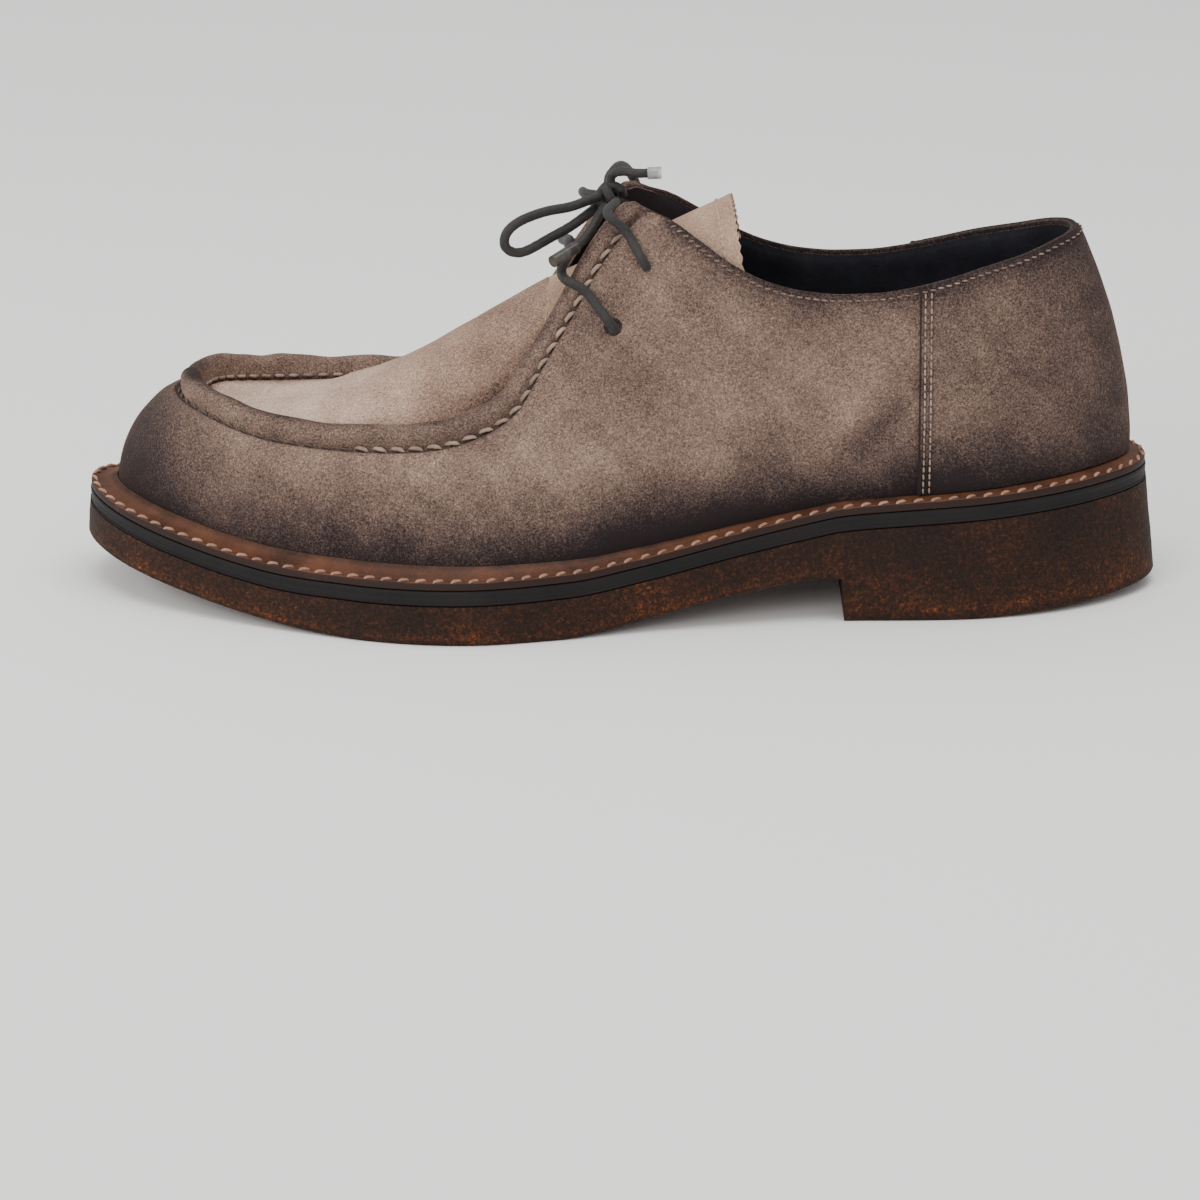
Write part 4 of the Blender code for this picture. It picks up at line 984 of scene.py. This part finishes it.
    above = patch(last_out, 0.0, True, 2)
    below = patch(last_out + 1, APRON_WALL, False, 1)
    for j in range(len(above) - 1):
        faces.append((above[j], below[j], below[j + 1], above[j + 1]))
        index.append(2)
    return piece("upper_shell", points, faces, [suede_skin, lining, apron_skin], tone, index)


def stitches(name, places, finish):
    """A row of stitches: each place is a point, the thread's direction and the outward normal."""
    long, thick, tone = STITCHES[name]
    columns, rings = 8, 7
    points, faces = [], []
    for number, (middle, way, out) in enumerate(places):
        way, out = unit(np.array(way)), np.array(out)
        out = unit(out - way * (out @ way))
        across = np.cross(way, out)
        faces += tube_faces(rings, columns, first=len(points))
        for i in range(rings):
            s = -1 + 2 * i / (rings - 1)
            uneven = 1 + 0.08 * math.sin(number * 2.3 + i * 2.1)
            radius = thick * max(1 - abs(s) ** 4, 0.04) ** 0.5 * uneven
            lift = thick * (0.55 - 1.1 * abs(s) ** 3)
            centre = np.array(middle) + way * s * long / 2 + out * lift
            for j in range(columns):
                angle = 2 * math.pi * (j + 0.5 * i) / columns
                points.append(centre + (across * math.cos(angle) + out * math.sin(angle)) * radius)
    piece(name, points, faces, finish, tone + 0.25 * ripple(np.array(points), 13, 61), sharp=80)


def frame_at(w, side, t, up_by, out_by):
    """Point, direction along the ring, direction up and outward normal on the wall."""
    here, up, out = wall_frame(np.array([w]), np.array([side]), np.array([t]))
    here = here + up * up_by + out * out_by
    along = unit(np.cross(up[0], out[0]))
    return here[0], along, up[0], out[0]


def spaced(w_start, w_end, place, pitch):
    """Stations between two ends so that places on the wall lie a pitch apart."""
    fine = np.linspace(w_start, w_end, 600)
    track = place(fine)
    run = np.concatenate([[0], np.cumsum(np.linalg.norm(np.diff(track, axis=0), axis=1))])
    count = max(2, int(round(run[-1] / pitch)))
    return np.interp((np.arange(count) + 0.5) / count * run[-1], run, fine)


def seam_stitches(finish):
    """Hand stitches of the moccasin seam: sunk and dark round the toe, thick and light up the facings."""
    toe, facing, inner = [], [], []
    for side in (-1.0, 1.0):
        def place(v, side=side):
            return wall(v, np.full(v.shape, side), np.ones(v.shape))

        for v in spaced(0.006, CORNER - 0.010, place, SEAM_PITCH):
            here, along, up, out = frame_at(v, side, 1.0, -0.0006, 0.0)
            forward = along * np.sign(-along[0])
            if v < FACING_START:
                toe.append((here - out * 0.0002, unit(forward + up * 0.25), out))
            else:
                facing.append((here + out * 0.00025, unit(forward + up * 0.30), out))
        for v in spaced(0.01, THROAT - 0.005, place, APRON_PITCH):
            width, _, deep = (float(a[0]) for a in roll_size(np.array([v])))
            here, along, up, _ = frame_at(v, side, 1.0, width * 1.02, -deep * 0.35)
            inner.append((here, along, up))
    stitches("toe_seam_stitches", toe, finish)
    stitches("facing_stitches", facing, finish)
    stitches("apron_stitches", inner, finish)


def edge_stitches(finish):
    """Machine stitches under the collar's edge, on the quarters and on the counter."""
    places = []
    for side in (-1.0, 1.0):
        def place(v, side=side):
            sides = np.full(v.shape, side)
            return wall(v, sides, collar_end(v, sides))

        stations = spaced(CORNER + 0.012, 0.9995, place, COLLAR_PITCH)
        ends, spots = collar_end(stations, np.full(stations.shape, side)), place(stations)
        for v, t, spot in zip(stations, ends, spots):
            lift = 0.0001 + (GAP + COUNTER_THICKNESS if spot[0] > COUNTER_X else 0.0)
            here, along, _, out = frame_at(v, side, t, -COLLAR_MARGIN, lift)
            places.append((here, along, out))
    stitches("collar_stitches", places, finish)


def counter_overlay(skin, stitch_finish):
    """Counter, a suede overlay a step above the quarters, and its two front rows of stitches."""
    rows, columns = 44, 64

    def height_share(w, side, part):
        """Share of the wall's height, part of the way from the welt's lip to the collar."""
        foot = outline(w, side, foot_inset(w))[0]
        low = at_height(w, side, lip_height(foot[..., 0], w) + GAP * 1.5)
        return low + (collar_end(w, side) - low) * part

    def seam_w(side, part):
        """Stations of the counter's front edge."""
        near, far = np.full(part.shape, 0.5), np.ones(part.shape)
        sides = np.full(part.shape, side)
        for _ in range(14):
            middle = (near + far) / 2
            behind = wall(middle, sides, height_share(middle, sides, part))[..., 0] > COUNTER_X
            near, far = np.where(behind, near, middle), np.where(behind, middle, far)
        return (near + far) / 2

    part = np.linspace(0, 1, rows)
    spread = np.linspace(0, 1, columns) ** 1.7
    fronts = [seam_w(s, part)[:, None] for s in (-1.0, 1.0)]
    outer, inner = (front + (1 - front) * spread for front in fronts)
    w = np.concatenate([outer, inner[:, ::-1][:, 1:]], 1)
    sides = np.concatenate([np.full(columns, -1.0), np.full(columns - 1, 1.0)])
    side = np.broadcast_to(sides, w.shape)
    part = part[:, None]
    share = height_share(w, side, part)
    zero = np.zeros_like(w)
    plain = on_wall(w, side, share, zero, zero)
    out = worn(plain, side) * ease(0.0, 0.1, part) * (1 - ease(0.9, 1.0, part))
    edge = np.minimum(*(np.linalg.norm(plain - plain[:, [k]], axis=-1) for k in (0, -1)))
    grooves = sum(hump(edge, back, 0.0005) for back in COUNTER_ROWS)
    # Rounded at its front edges and its top, and slightly raised just behind the front edges
    fall = (0.5 * (1 - ease(0.0, 0.0004, edge)) - 0.28 * hump(edge, 0.0007, 0.0005)
            + 0.5 * ease(0.97, 1.0, part))
    drop = COUNTER_THICKNESS * fall + 0.00015 * grooves
    top = on_wall(w, side, share, zero, zero + GAP + COUNTER_THICKNESS + out - drop)
    below = on_wall(w, side, share, zero, zero + GAP * 0.2 + out)
    # Painted shadow along the counter's front edges and painted shade in its stitch grooves; the lower
    # skin is 0.4 darker
    tones = (suede_tone_and_shade(plain, side) - 1.3 * hump(edge, 0.0, 0.0004) - 0.25 * grooves).ravel()
    made = piece("counter_overlay", np.concatenate([top.reshape(-1, 3), below.reshape(-1, 3)]),
                 sum(two_skins(*w.shape), []), skin, np.concatenate([tones, tones - 0.4]))
    places = []
    for side in (-1.0, 1.0):
        seams = seam_w(side, COUNTER_LEVELS)
        heights = height_share(seams, np.full(seams.shape, side), COUNTER_LEVELS)
        for v, t in zip(seams, heights):
            here, along, up, out = frame_at(v, side, t, 0.0, GAP + COUNTER_THICKNESS)
            for setback in COUNTER_ROWS:
                places.append((here + along * np.sign(along[0]) * setback, up, out))
    stitches("counter_stitches", places, stitch_finish)
    return made


# The welt from its outer edge to its lip: share of its flat width, share of the way up to the lip,
# and height above both, mm
WELT_PROFILE = (
    (0.0, 0.0, -1.7), (0.0, 0.0, -0.45), (0.03, 0.0, -0.1), (0.09, 0.0, 0.02), (0.17, 0.0, -0.02),
    (0.22, 0.02, -0.10), (0.28, 0.05, -0.10), (0.34, 0.08, 0.02), (0.45, 0.16, 0.05),
    (0.58, 0.30, 0.08), (0.72, 0.52, 0.16), (0.84, 0.78, 0.22),
)


def welt_strip(finish, stitch_finish):
    """Storm welt: a flat strip, a stitch groove by its edge and a lip rising against the upper."""
    w, side = around(dense_stations())
    count = len(w)
    edge = WELT_INSET + lean(w)
    flat = foot_inset(w) - edge - GAP
    lip_level = lip_height(outline(w, side, foot_inset(w))[0][:, 0], w)
    lip = on_wall(w, side, at_height(w, side, lip_level), 0.0, GAP * 1.3)
    lip_in = on_wall(w, side, at_height(w, side, lip_level - 0.0010), 0.0, GAP * 0.6)
    feet = [outline(w, side, inset)[0] for inset in (foot_inset(w) - GAP, edge)]
    rings = [with_height(plan, midsole_top(plan[:, 0]) + GAP) for plan in feet]
    tones = [np.full(count, -0.8), np.full(count, -0.8)]
    for share, rise, extra in WELT_PROFILE:
        plan, _ = outline(w, side, edge + flat * share)
        top = welt_top(plan[:, 0])
        points = with_height(plan, top + (lip_level - top) * rise + extra / 1000)
        points[:, 2] += 0.00006 * ripple(points, 6, 71)
        rings.append(points)
        dark = 1.4 * (extra < -0.4) + 0.4 * (share > 0.8)
        tones.append(0.15 - dark + 0.3 * ripple(points, 22, 72))
    rings += [lip + (0, 0, 0.00012), lip_in]
    tones += [np.full(count, -0.35), np.full(count, -0.9)]
    faces = grid_faces(len(rings), count, closed=True, flip=True)
    last = (len(rings) - 1) * count
    faces += [(last + c, last + (c + 1) % count, (c + 1) % count, c)[::-1] for c in range(count)]
    made = piece("welt_strip", np.concatenate(rings), faces, finish, np.concatenate(tones))

    places = []
    for turn in (-1.0, 1.0):
        def place(v, turn=turn):
            plan = outline(v, np.full(v.shape, turn), WELT_INSET + lean(v) + WELT_MARGIN)[0]
            return with_height(plan, welt_top(plan[:, 0]))

        stations = spaced(0.001, 0.999, place, WELT_PITCH)
        ahead_of = unit(place(np.clip(stations + 0.002, 0, 1)) - place(np.clip(stations - 0.002, 0, 1)))
        for here, ahead in zip(place(stations), ahead_of):
            across = np.cross(ahead, (0, 0, 1.0)) * turn
            way = unit(ahead + across * 0.42)
            places.append((here - (0, 0, 0.00005), way, (0, 0, 1.0)))
    stitches("welt_stitches", places, stitch_finish)
    return made


def sole_stations():
    """The ring's stations, with the top and foot of the heel's front face among them."""
    breast = [float(station(BREAST_SHARE)), float(station(BREAST_SHARE + BREAST_SLOPE / SOLE_LENGTH))]
    others = [w for w in dense_stations() if min(abs(w - b) for b in breast) > 0.0035]
    return np.array(sorted(others + breast))


def strips(first, columns, up):
    """Strips across a ring, from the toe to the heel."""
    toe, faces = columns // 2, []
    for k in range(toe):
        ends = [first + toe - k, first + toe - k - 1,
                first + (toe + k + 1) % columns, first + (toe + k) % columns]
        ends = [p for i, p in enumerate(ends) if p not in ends[:i]]
        faces.append(tuple(ends if up else ends[::-1]))
    return faces


def slab_faces(rings, columns):
    """Faces of a stack of rings, closed underneath and on top."""
    return (grid_faces(rings, columns, closed=True, flip=True) + strips(0, columns, False)
            + strips((rings - 1) * columns, columns, True))


# Worn lower edge of the sole: height above the underside and share of OUTSOLE_BEVEL
SOLE_FOOT = ((0.0, 1.0), (0.0002, 0.55), (0.0005, 0.2), (0.0009, 0.0))
SOLE_SIDE_FINE = 12


def sole_body(finish):
    """Moulded sole with its heel block, a worn lower edge and a faintly uneven side."""
    w, side = around(sole_stations())
    flat, _ = outline(w, side)
    bottom = underside(flat[:, 0])
    top = midsole_top(flat[:, 0]) - MIDSOLE_THICKNESS - GAP
    rings, tones = [], []
    for by, inset in SOLE_FOOT:
        plan, _ = outline(w, side, np.full(w.shape, OUTSOLE_BEVEL) * inset)
        rings.append(with_height(plan, bottom + by))
        tones.append(np.full(w.shape, 0.35 - 0.5 * (by > 0.0004)))
    foot = SOLE_FOOT[-1][0]
    for k in range(1, SOLE_SIDE_FINE + 1):
        share = k / SOLE_SIDE_FINE
        plan, inward = outline(w, side, (OUTSOLE_TAPER + lean(w)) * share)
        points = with_height(plan, bottom + foot + (top - bottom - foot) * share)
        uneven = 0.00007 * ripple(points, 2.6, 81) + 0.00008 * ripple(points, 9, 82)
        points[:, :2] += inward * (uneven * math.sin(math.pi * min(share, 0.96)))[:, None]
        rings.append(points)
        rubbed = 0.40 * hump(share, 0.05, 0.15) - 0.12 * share
        heel = -0.25 * ease(0.03, 0.06, points[:, 0]) * ease(0.2, 0.8, share)
        tones.append(rubbed + heel + 0.2 * ripple(points, 40, 83))
    plan, _ = outline(w, side, OUTSOLE_TAPER + lean(w) + 0.0004)
    rings.append(with_height(plan, top))
    tones.append(np.full(w.shape, -0.5))
    return piece("sole_body", np.concatenate(rings), slab_faces(len(rings), len(w)), finish,
                 np.concatenate(tones))


# The midsole's edge from below: share of its thickness and how far it lies in, mm
MIDSOLE_PROFILE = (
    (0.0, 0.5), (0.0, 0.05), (0.12, -0.15), (0.16, 0.12), (0.24, 0.16), (0.5, 0.05), (0.62, 0.2),
    (0.68, 0.05), (0.85, 0.0), (0.96, 0.12), (1.0, 0.5),
)


def sole_edge(finish):
    """Stacked midsole edge: dyed dark, with a fine ledge at its lower line."""
    w, side = around(dense_stations())
    rings = []
    for share, inset in MIDSOLE_PROFILE:
        plan, _ = outline(w, side, MIDSOLE_INSET + lean(w) + inset / 1000)
        rings.append(with_height(plan, midsole_top(plan[:, 0]) - MIDSOLE_THICKNESS * (1 - share)))
    points = np.concatenate(rings)
    share = np.repeat(np.linspace(0, 1, len(rings)), len(w))
    tone = 0.5 * hump(share, 0.25, 0.12) + 0.4 * hump(share, 0.9, 0.1)
    return piece("sole_edge", points, slab_faces(len(rings), len(w)), finish,
                 tone + 0.3 * ripple(points, 30, 91) - 0.2)


def tongue_flap(skin, lining, stitch_finish):
    """Tongue with a pinked free end and one row of stitches before it."""
    throat = np.array([THROAT])
    sides = [seam_base(throat, s)[0] for s in (-1.0, 1.0)]
    middle = (sides[0] + sides[1]) / 2
    root_half = (sides[1][1] - sides[0][1]) / 2 - TONGUE_THICKNESS + 0.0012
    root_crown = APRON_HEIGHT + (INSTEP_HEIGHT - APRON_HEIGHT) * APRON_LINE(share_of(middle[0])) + 0.0001
    start = middle[0] - 0.0006
    end_x = (TONGUE_END_SHARE - 0.5) * SOLE_LENGTH

    def at(u, v):
        """Point on the tongue's top, u from its root to its end and v from -1 to 1 across it."""
        x = start + (end_x - start + TONGUE_END_SWEEP * v * v) * u
        crown = root_crown + (TONGUE_HEIGHT - root_crown) * u
        half = root_half + (TONGUE_END_HALF - root_half) * u
        drop = (root_crown - middle[2]) * (1 - u) + TONGUE_END_DROP * u
        z = crown - drop * np.abs(v) ** (2.2 + 0.4 * u)
        return np.stack([x, middle[1] - TONGUE_END_SHIFT * u + half * v, z + 0 * x], -1)

    rows, columns = 50, 97
    u = np.linspace(0, 1, rows)[:, None]
    v = np.linspace(-1, 1, columns)[None, :]
    top = at(u, v)
    top[..., 2] += ripple(top, 26, 101) * 0.0003 * ease(0.0, 0.3, u) * (1 - np.abs(v) ** 4)
    across, along = np.gradient(top, axis=1), np.gradient(top, axis=0)
    below = top - unit(np.cross(along, across)) * TONGUE_THICKNESS * 0.9
    # Pinked end: a tooth to every four columns, 0.6 mm deep
    teeth = 0.0006 * (2 * np.abs((np.arange(columns) / 4.0) % 1 - 0.5) - 0.5)
    for row, amount in ((-1, 1.0), (-2, 0.55)):
        top[row, :, 0] += teeth * amount
        below[row, :, 0] = top[row, :, 0] - 0.0002 * (below[row, :, 2] < top[row, :, 2])
    below[0, :, 0] = top[0, :, 0]
    points = np.concatenate([skin_grid.swapaxes(0, 1).reshape(-1, 3) for skin_grid in (top, below)])
    upper, lower, band = two_skins(columns, rows)
    index = [0] * len(upper) + [1] * len(lower) + [0] * len(band)
    tone = 0.15 + 0.2 * ripple(points, 20, 102)
    made = piece("tongue_flap", points, upper + lower + band, [skin, lining], tone, index)

    places = []
    back = 1 - 0.0042 / (end_x - start)
    for share in np.arange(-0.94, 0.95, 0.078):
        here = at(back, share)
        way = unit(at(back, share + 0.01) - here)
        out = np.cross(unit(at(back + 0.01, share) - here), way)
        places.append((here, way, out if out[2] > 0 else -out))
    stitches("tongue_stitches", places, stitch_finish)
    return made


def smooth_path(points, step=0.0005):
    """Close points along the smooth curve through a lace's points, as the solids' tubes run."""
    points = np.array(points)
    long = np.concatenate([[0], np.cumsum(np.linalg.norm(np.diff(points, axis=0), axis=1))])
    curves = [spline(long, points[:, k]) for k in range(3)]
    at = np.linspace(0, long[-1], max(8, int(long[-1] / step)))
    return np.stack([curve(at) for curve in curves], -1)


PLAIT = 0.0026             # metres of lace in which its strands go once round
CORD_COLUMNS = 28


def braided(path, diameter, relief=0.09):
    """Points and faces of a round woven cord along a path, its strands crossing in relief."""
    path = np.asarray(path)
    ahead = unit(np.gradient(path, axis=0))
    normal = unit(np.cross(ahead[0], (0.3, 0.2, 1.0)))
    angle = 2 * math.pi * np.arange(CORD_COLUMNS) / CORD_COLUMNS
    run, rings = 0.0, []
    for i, here in enumerate(path):
        if i:
            run += np.linalg.norm(here - path[i - 1])
            normal = unit(normal - ahead[i] * (normal @ ahead[i]))
        across = np.cross(ahead[i], normal)
        turn = 2 * math.pi * run / PLAIT
        weave = np.maximum(np.cos(4 * angle + turn), np.cos(4 * angle - turn))
        radius = diameter / 2 * (1 - relief * 0.5 + relief * 0.5 * weave)
        spokes = np.cos(angle)[:, None] * normal + np.sin(angle)[:, None] * across
        rings.append(here + spokes * radius[:, None])
    return np.concatenate(rings), tube_faces(len(path), CORD_COLUMNS)


def cord_piece(name, path, diameter, finish):
    """A length of the lace."""
    points, faces = braided(path, diameter)
    return piece(name, points, faces, finish, 0.3 * ripple(points, 16, 111), sharp=70)


def outside(path):
    """The part of a lace's path that lies outside the knot."""
    radii = np.array(KNOT_RADII) * KNOT_CORE
    return path[np.linalg.norm((path - KNOT) / radii, axis=1) > 1]


def into_eyelet(level, side):
    """The run from inside its eyelet to the top of the edge that it crosses."""
    route = over_edge(level, side)
    w, t = EYELET_PLACES[level, side]
    here, _, out = wall_frame(w, side, t)
    back = unit(route[0] - route[1])
    behind = here[0] + back * 0.0022 - out[0] * 0.0024
    mouth = here[0] + back * 0.0010 - out[0] * 0.0002
    return [behind, mouth] + route


def bow(finish, shaded_tip_acetate, clear):
    """The lace: bar, two runs, two ends with their tips, two loops and the knot."""
    entry = np.array(KNOT) + KNOT_ENTRY
    reach = np.array([0, KNOT_RADII[1], 0])
    bar = into_eyelet("lower", -1.0) + list(LOWER_MIDDLE) + into_eyelet("lower", 1.0)[::-1]
    lower = cord_piece("lower_lace", smooth_path(bar), LACE, finish)
    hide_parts("lace_lower_bar")
    for name, side, start in (("near_run", -1.0, -reach), ("far_run", 1.0, reach)):
        path = smooth_path(into_eyelet("upper", side) + [entry + start, entry])
        made = cord_piece("lace_" + name + "_cord", outside(path), LACE, finish)
        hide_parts("lace_" + name)
    ends = (("near", NEAR_END, NEAR_AGLET, shaded_tip_acetate), ("far", FAR_END, FAR_AGLET, clear))
    for name, route, tip, sleeve in ends:
        path = outside(smooth_path(route))
        way = unit(np.array(tip) - path[-1])
        long = np.linalg.norm(np.array(tip) - path[-1])
        inside = path[-1] + way * np.linspace(0.0005, long * 0.8, 12)[:, None]
        end = cord_piece(name + "_lace_end", np.concatenate([path, inside]), LACE * 0.94, finish)
        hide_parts(f"lace_{name}_end")
        sleeve_path = path[-1] + way * np.linspace(0.0004, long, 14)[:, None]
        points, faces = braided(sleeve_path, AGLET, relief=0.0)
        tip_piece = piece(name + "_tip", points, faces, sleeve, sharp=60)
        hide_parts(name + "_aglet")
    for name, route in (("near", NEAR_LOOP), ("far", FAR_LOOP)):
        path = outside(smooth_path(route))
        loop = cord_piece(name + "_loop", path, LACE, finish)
        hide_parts(f"lace_{name}_loop")
    bow_knot(finish)


# Windings of the knot: tilt, radius and shift across, metres, and first and last angle
WINDINGS = ((0.25, 0.0030, -0.0012, 0.6, 6.1), (-0.5, 0.0026, 0.0012, 0.0, 5.6))


def bow_knot(finish):
    """Two windings side by side, and a third that runs over them."""
    turns = []
    for tilt, radius, shift, first, last in WINDINGS:
        angle = np.linspace(first, last, 44)
        turns.append(np.stack([np.cos(angle) * radius * 1.15, shift + np.sin(angle) * tilt * radius,
                               np.sin(angle) * radius], -1))
    angle = np.linspace(-1.25, 1.25, 24)
    turns.append(np.stack([-np.sin(angle) * 0.0016 - 0.0004, -np.cos(angle) * 0.0030 + 0.0004,
                           np.sin(angle) * 0.0031], -1))
    points, faces, count = [], [], 0
    for turn in turns:
        cord_points, cord_faces = braided(np.array(KNOT) + turn, LACE)
        points.append(cord_points)
        faces += [[count + i for i in face] for face in cord_faces]
        count += len(cord_points)
    knot = piece("bow_knot", np.concatenate(points), faces, finish, np.full(count, 0.1), sharp=70)
    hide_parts("lace_knot")


EYELET_COLUMNS = 28
HOLE_RADIUS = 0.0018
# Raised edge of a punched hole: radius and height, metres
EYELET_RIM = ((0.0016, 0.00005), (0.0017, 0.0003), (0.0021, 0.00036), (0.0026, 0.0))


def eyelet_holes(dark, rim):
    """Punched holes without metal: a dark disc as painted shade inside each hole, and its rounded raw
    edge.
    """
    hole_points, hole_faces, rim_points, rim_faces = [], [], [], []
    angle = 2 * math.pi * np.arange(EYELET_COLUMNS) / EYELET_COLUMNS
    for (_, side), (w, t) in EYELET_PLACES.items():
        here, up, out = (a[0] for a in wall_frame(w, side, t))
        across = np.cross(out, up)
        ring = np.cos(angle)[:, None] * across + np.sin(angle)[:, None] * up
        hole_faces.append([len(hole_points) + j for j in range(EYELET_COLUMNS)])
        hole_points += list(here + ring * HOLE_RADIUS + out * 0.00012)
        rim_faces += grid_faces(len(EYELET_RIM), EYELET_COLUMNS, closed=True, first=len(rim_points))
        for radius, lift in EYELET_RIM:
            rim_points += list(here + ring * radius + out * lift)
    piece("eyelet_holes", hole_points, hole_faces, dark)
    piece("eyelet_rims", rim_points, rim_faces, rim, np.full(len(rim_points), -0.85))


def paint_node(name, finish):
    """Gives a CAD node that stays its finish."""
    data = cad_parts[name].data
    data.materials.clear()
    data.materials.append(finish)


SKY = 0.66
# Softboxes: name, place, size, power in watts, tint
LIGHTS = (
    ("top_softbox", (0.1, -0.2, 1.5), (1.4, 1.0), 16.0, (1.0, 0.99, 0.97)),
    ("front_softbox", (-0.9, -1.5, 0.9), (0.9, 0.9), 13.0, (1.0, 0.98, 0.96)),
    ("toe_softbox", (-1.5, 0.2, 0.7), (0.8, 0.8), 8.0, (1.0, 1.0, 1.0)),
)
LIGHTS_AIM = (0.0, 0.0, 0.05)
FLOOR_CORNERS = ((-6, -4, 0), (6, -4, 0), (6, 9, 0), (-6, 9, 0))


def studio():
    """Matt painted floor, even white surroundings and three softboxes."""
    floor = bpy.data.meshes.new("floor")
    floor.from_pydata(FLOOR_CORNERS, [], [(0, 1, 2, 3)])
    made = bpy.data.objects.new("floor", floor)
    bpy.context.collection.objects.link(made)
    finish, _, shader, _ = material("painted_board", Roughness=0.9)
    shader.inputs["Base Color"].default_value = hex_colour("#FCFCFB")
    floor.materials.append(finish)
    world = bpy.context.scene.world or bpy.data.worlds.new("studio")
    bpy.context.scene.world = world
    world.use_nodes = True
    sky = world.node_tree.nodes["Background"]
    sky.inputs["Color"].default_value = (1.0, 1.0, 1.0, 1.0)
    sky.inputs["Strength"].default_value = SKY
    for name, place, size, power, tint in LIGHTS:
        lamp = bpy.data.lights.new(name, "AREA")
        lamp.shape = "RECTANGLE"
        lamp.size, lamp.size_y = size
        lamp.energy = power
        lamp.color = tint
        light = bpy.data.objects.new(name, lamp)
        light.location = place
        aim = Vector(LIGHTS_AIM) - Vector(place)
        light.rotation_euler = aim.to_track_quat("-Z", "Y").to_euler()
        bpy.context.collection.objects.link(light)


# The camera that fits the photograph's proportions: place in metres, lens and sensor in mm, and
# how far down it looks, degrees
CAMERA_PLACE = (-0.006, -1.2958, 0.447)
CAMERA_LENS = 143.7
CAMERA_SENSOR = 36.0
CAMERA_DOWN = 19.245


def camera():
    lens = bpy.data.cameras.new("camera")
    lens.sensor_width = CAMERA_SENSOR
    lens.lens = CAMERA_LENS
    lens.clip_end = 50.0
    made = bpy.data.objects.new("camera", lens)
    made.location = CAMERA_PLACE
    made.rotation_euler = (math.radians(90 - CAMERA_DOWN), 0.0, 0.0)
    bpy.context.collection.objects.link(made)
    bpy.context.scene.camera = made


# Colours of the suede from dark to light: the dark ends also give painted shade, and the apron's light
# end its painted highlight
SUEDE_STOPS = [(0.0, "#292223"), (0.22, "#433735"), (0.45, "#67544B"), (0.62, "#806A5E"),
               (0.85, "#A18878"), (1.0, "#C4A999")]
APRON_STOPS = [(0.0, "#43342F"), (0.25, "#735C50"), (0.5, "#957B6A"), (0.75, "#BBA08F"),
               (1.0, "#D9C3B4")]
TONGUE_STOPS = [(0.0, "#6A5244"), (0.3, "#8F7361"), (0.6, "#AA8D79"), (1.0, "#CBB09C")]


def build():
    """Camera and lace first, then the finishes and every other piece."""
    camera()
    lace = thread("waxed_cotton_lace", "#0C0A09", "#2E2825", 0.65)
    # The lace's two tips are the same acetate; the near one is drawn darker and less clear, as painted
    # shade
    shaded_tip_acetate = tip_plastic("acetate_with_painted_shade", "#2A2725", "#5E5852", 0.15)
    clear = tip_plastic("clear_acetate", "#CFCFCF", "#FFFFFF", 0.6)
    bow(lace, shaded_tip_acetate, clear)
    quarter = suede("waxed_suede", SUEDE_STOPS)
    apron = suede("rubbed_suede_with_painted_light", APRON_STOPS)
    flesh = suede("tongue_suede", TONGUE_STOPS)
    # Low and high colour, roughness, grain and its depth in mm, patches in mm
    lining = leather("black_lining_calf", "#151519", "#34343B", 0.42, 0.9, 0.12, 14.0)
    tan = leather("waxed_welt_leather", "#26130B", "#653D28", 0.6, 0.7, 0.14, 7.0)
    edge = leather("dyed_sole_edge", "#050404", "#171111", 0.62, 0.8, 0.10, 12.0)
    rubber = crepe_rubber("moulded_crepe_rubber")
    seam_thread = thread("waxed_seam_thread", "#4E3F37", "#B79B8A")
    welt_thread = thread("welt_thread", "#74503F", "#BE937B")
    fine_thread = thread("fine_thread", "#6A564B", "#BBA294")
    shell = upper_shell(quarter, apron, lining)
    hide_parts("upper")
    over = counter_overlay(quarter, fine_thread)
    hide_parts("counter")
    flap = tongue_flap(flesh, lining, fine_thread)
    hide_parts("tongue")
    seam_stitches(seam_thread)
    edge_stitches(fine_thread)
    strip = welt_strip(tan, welt_thread)
    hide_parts("welt")
    rim = sole_edge(edge)
    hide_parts("midsole")
    base = sole_body(rubber)
    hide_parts("outsole")
    eyelet_holes(lining, quarter)
    paint_node("insole", lining)
    studio()


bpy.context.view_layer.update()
build()
bpy.context.view_layer.update()
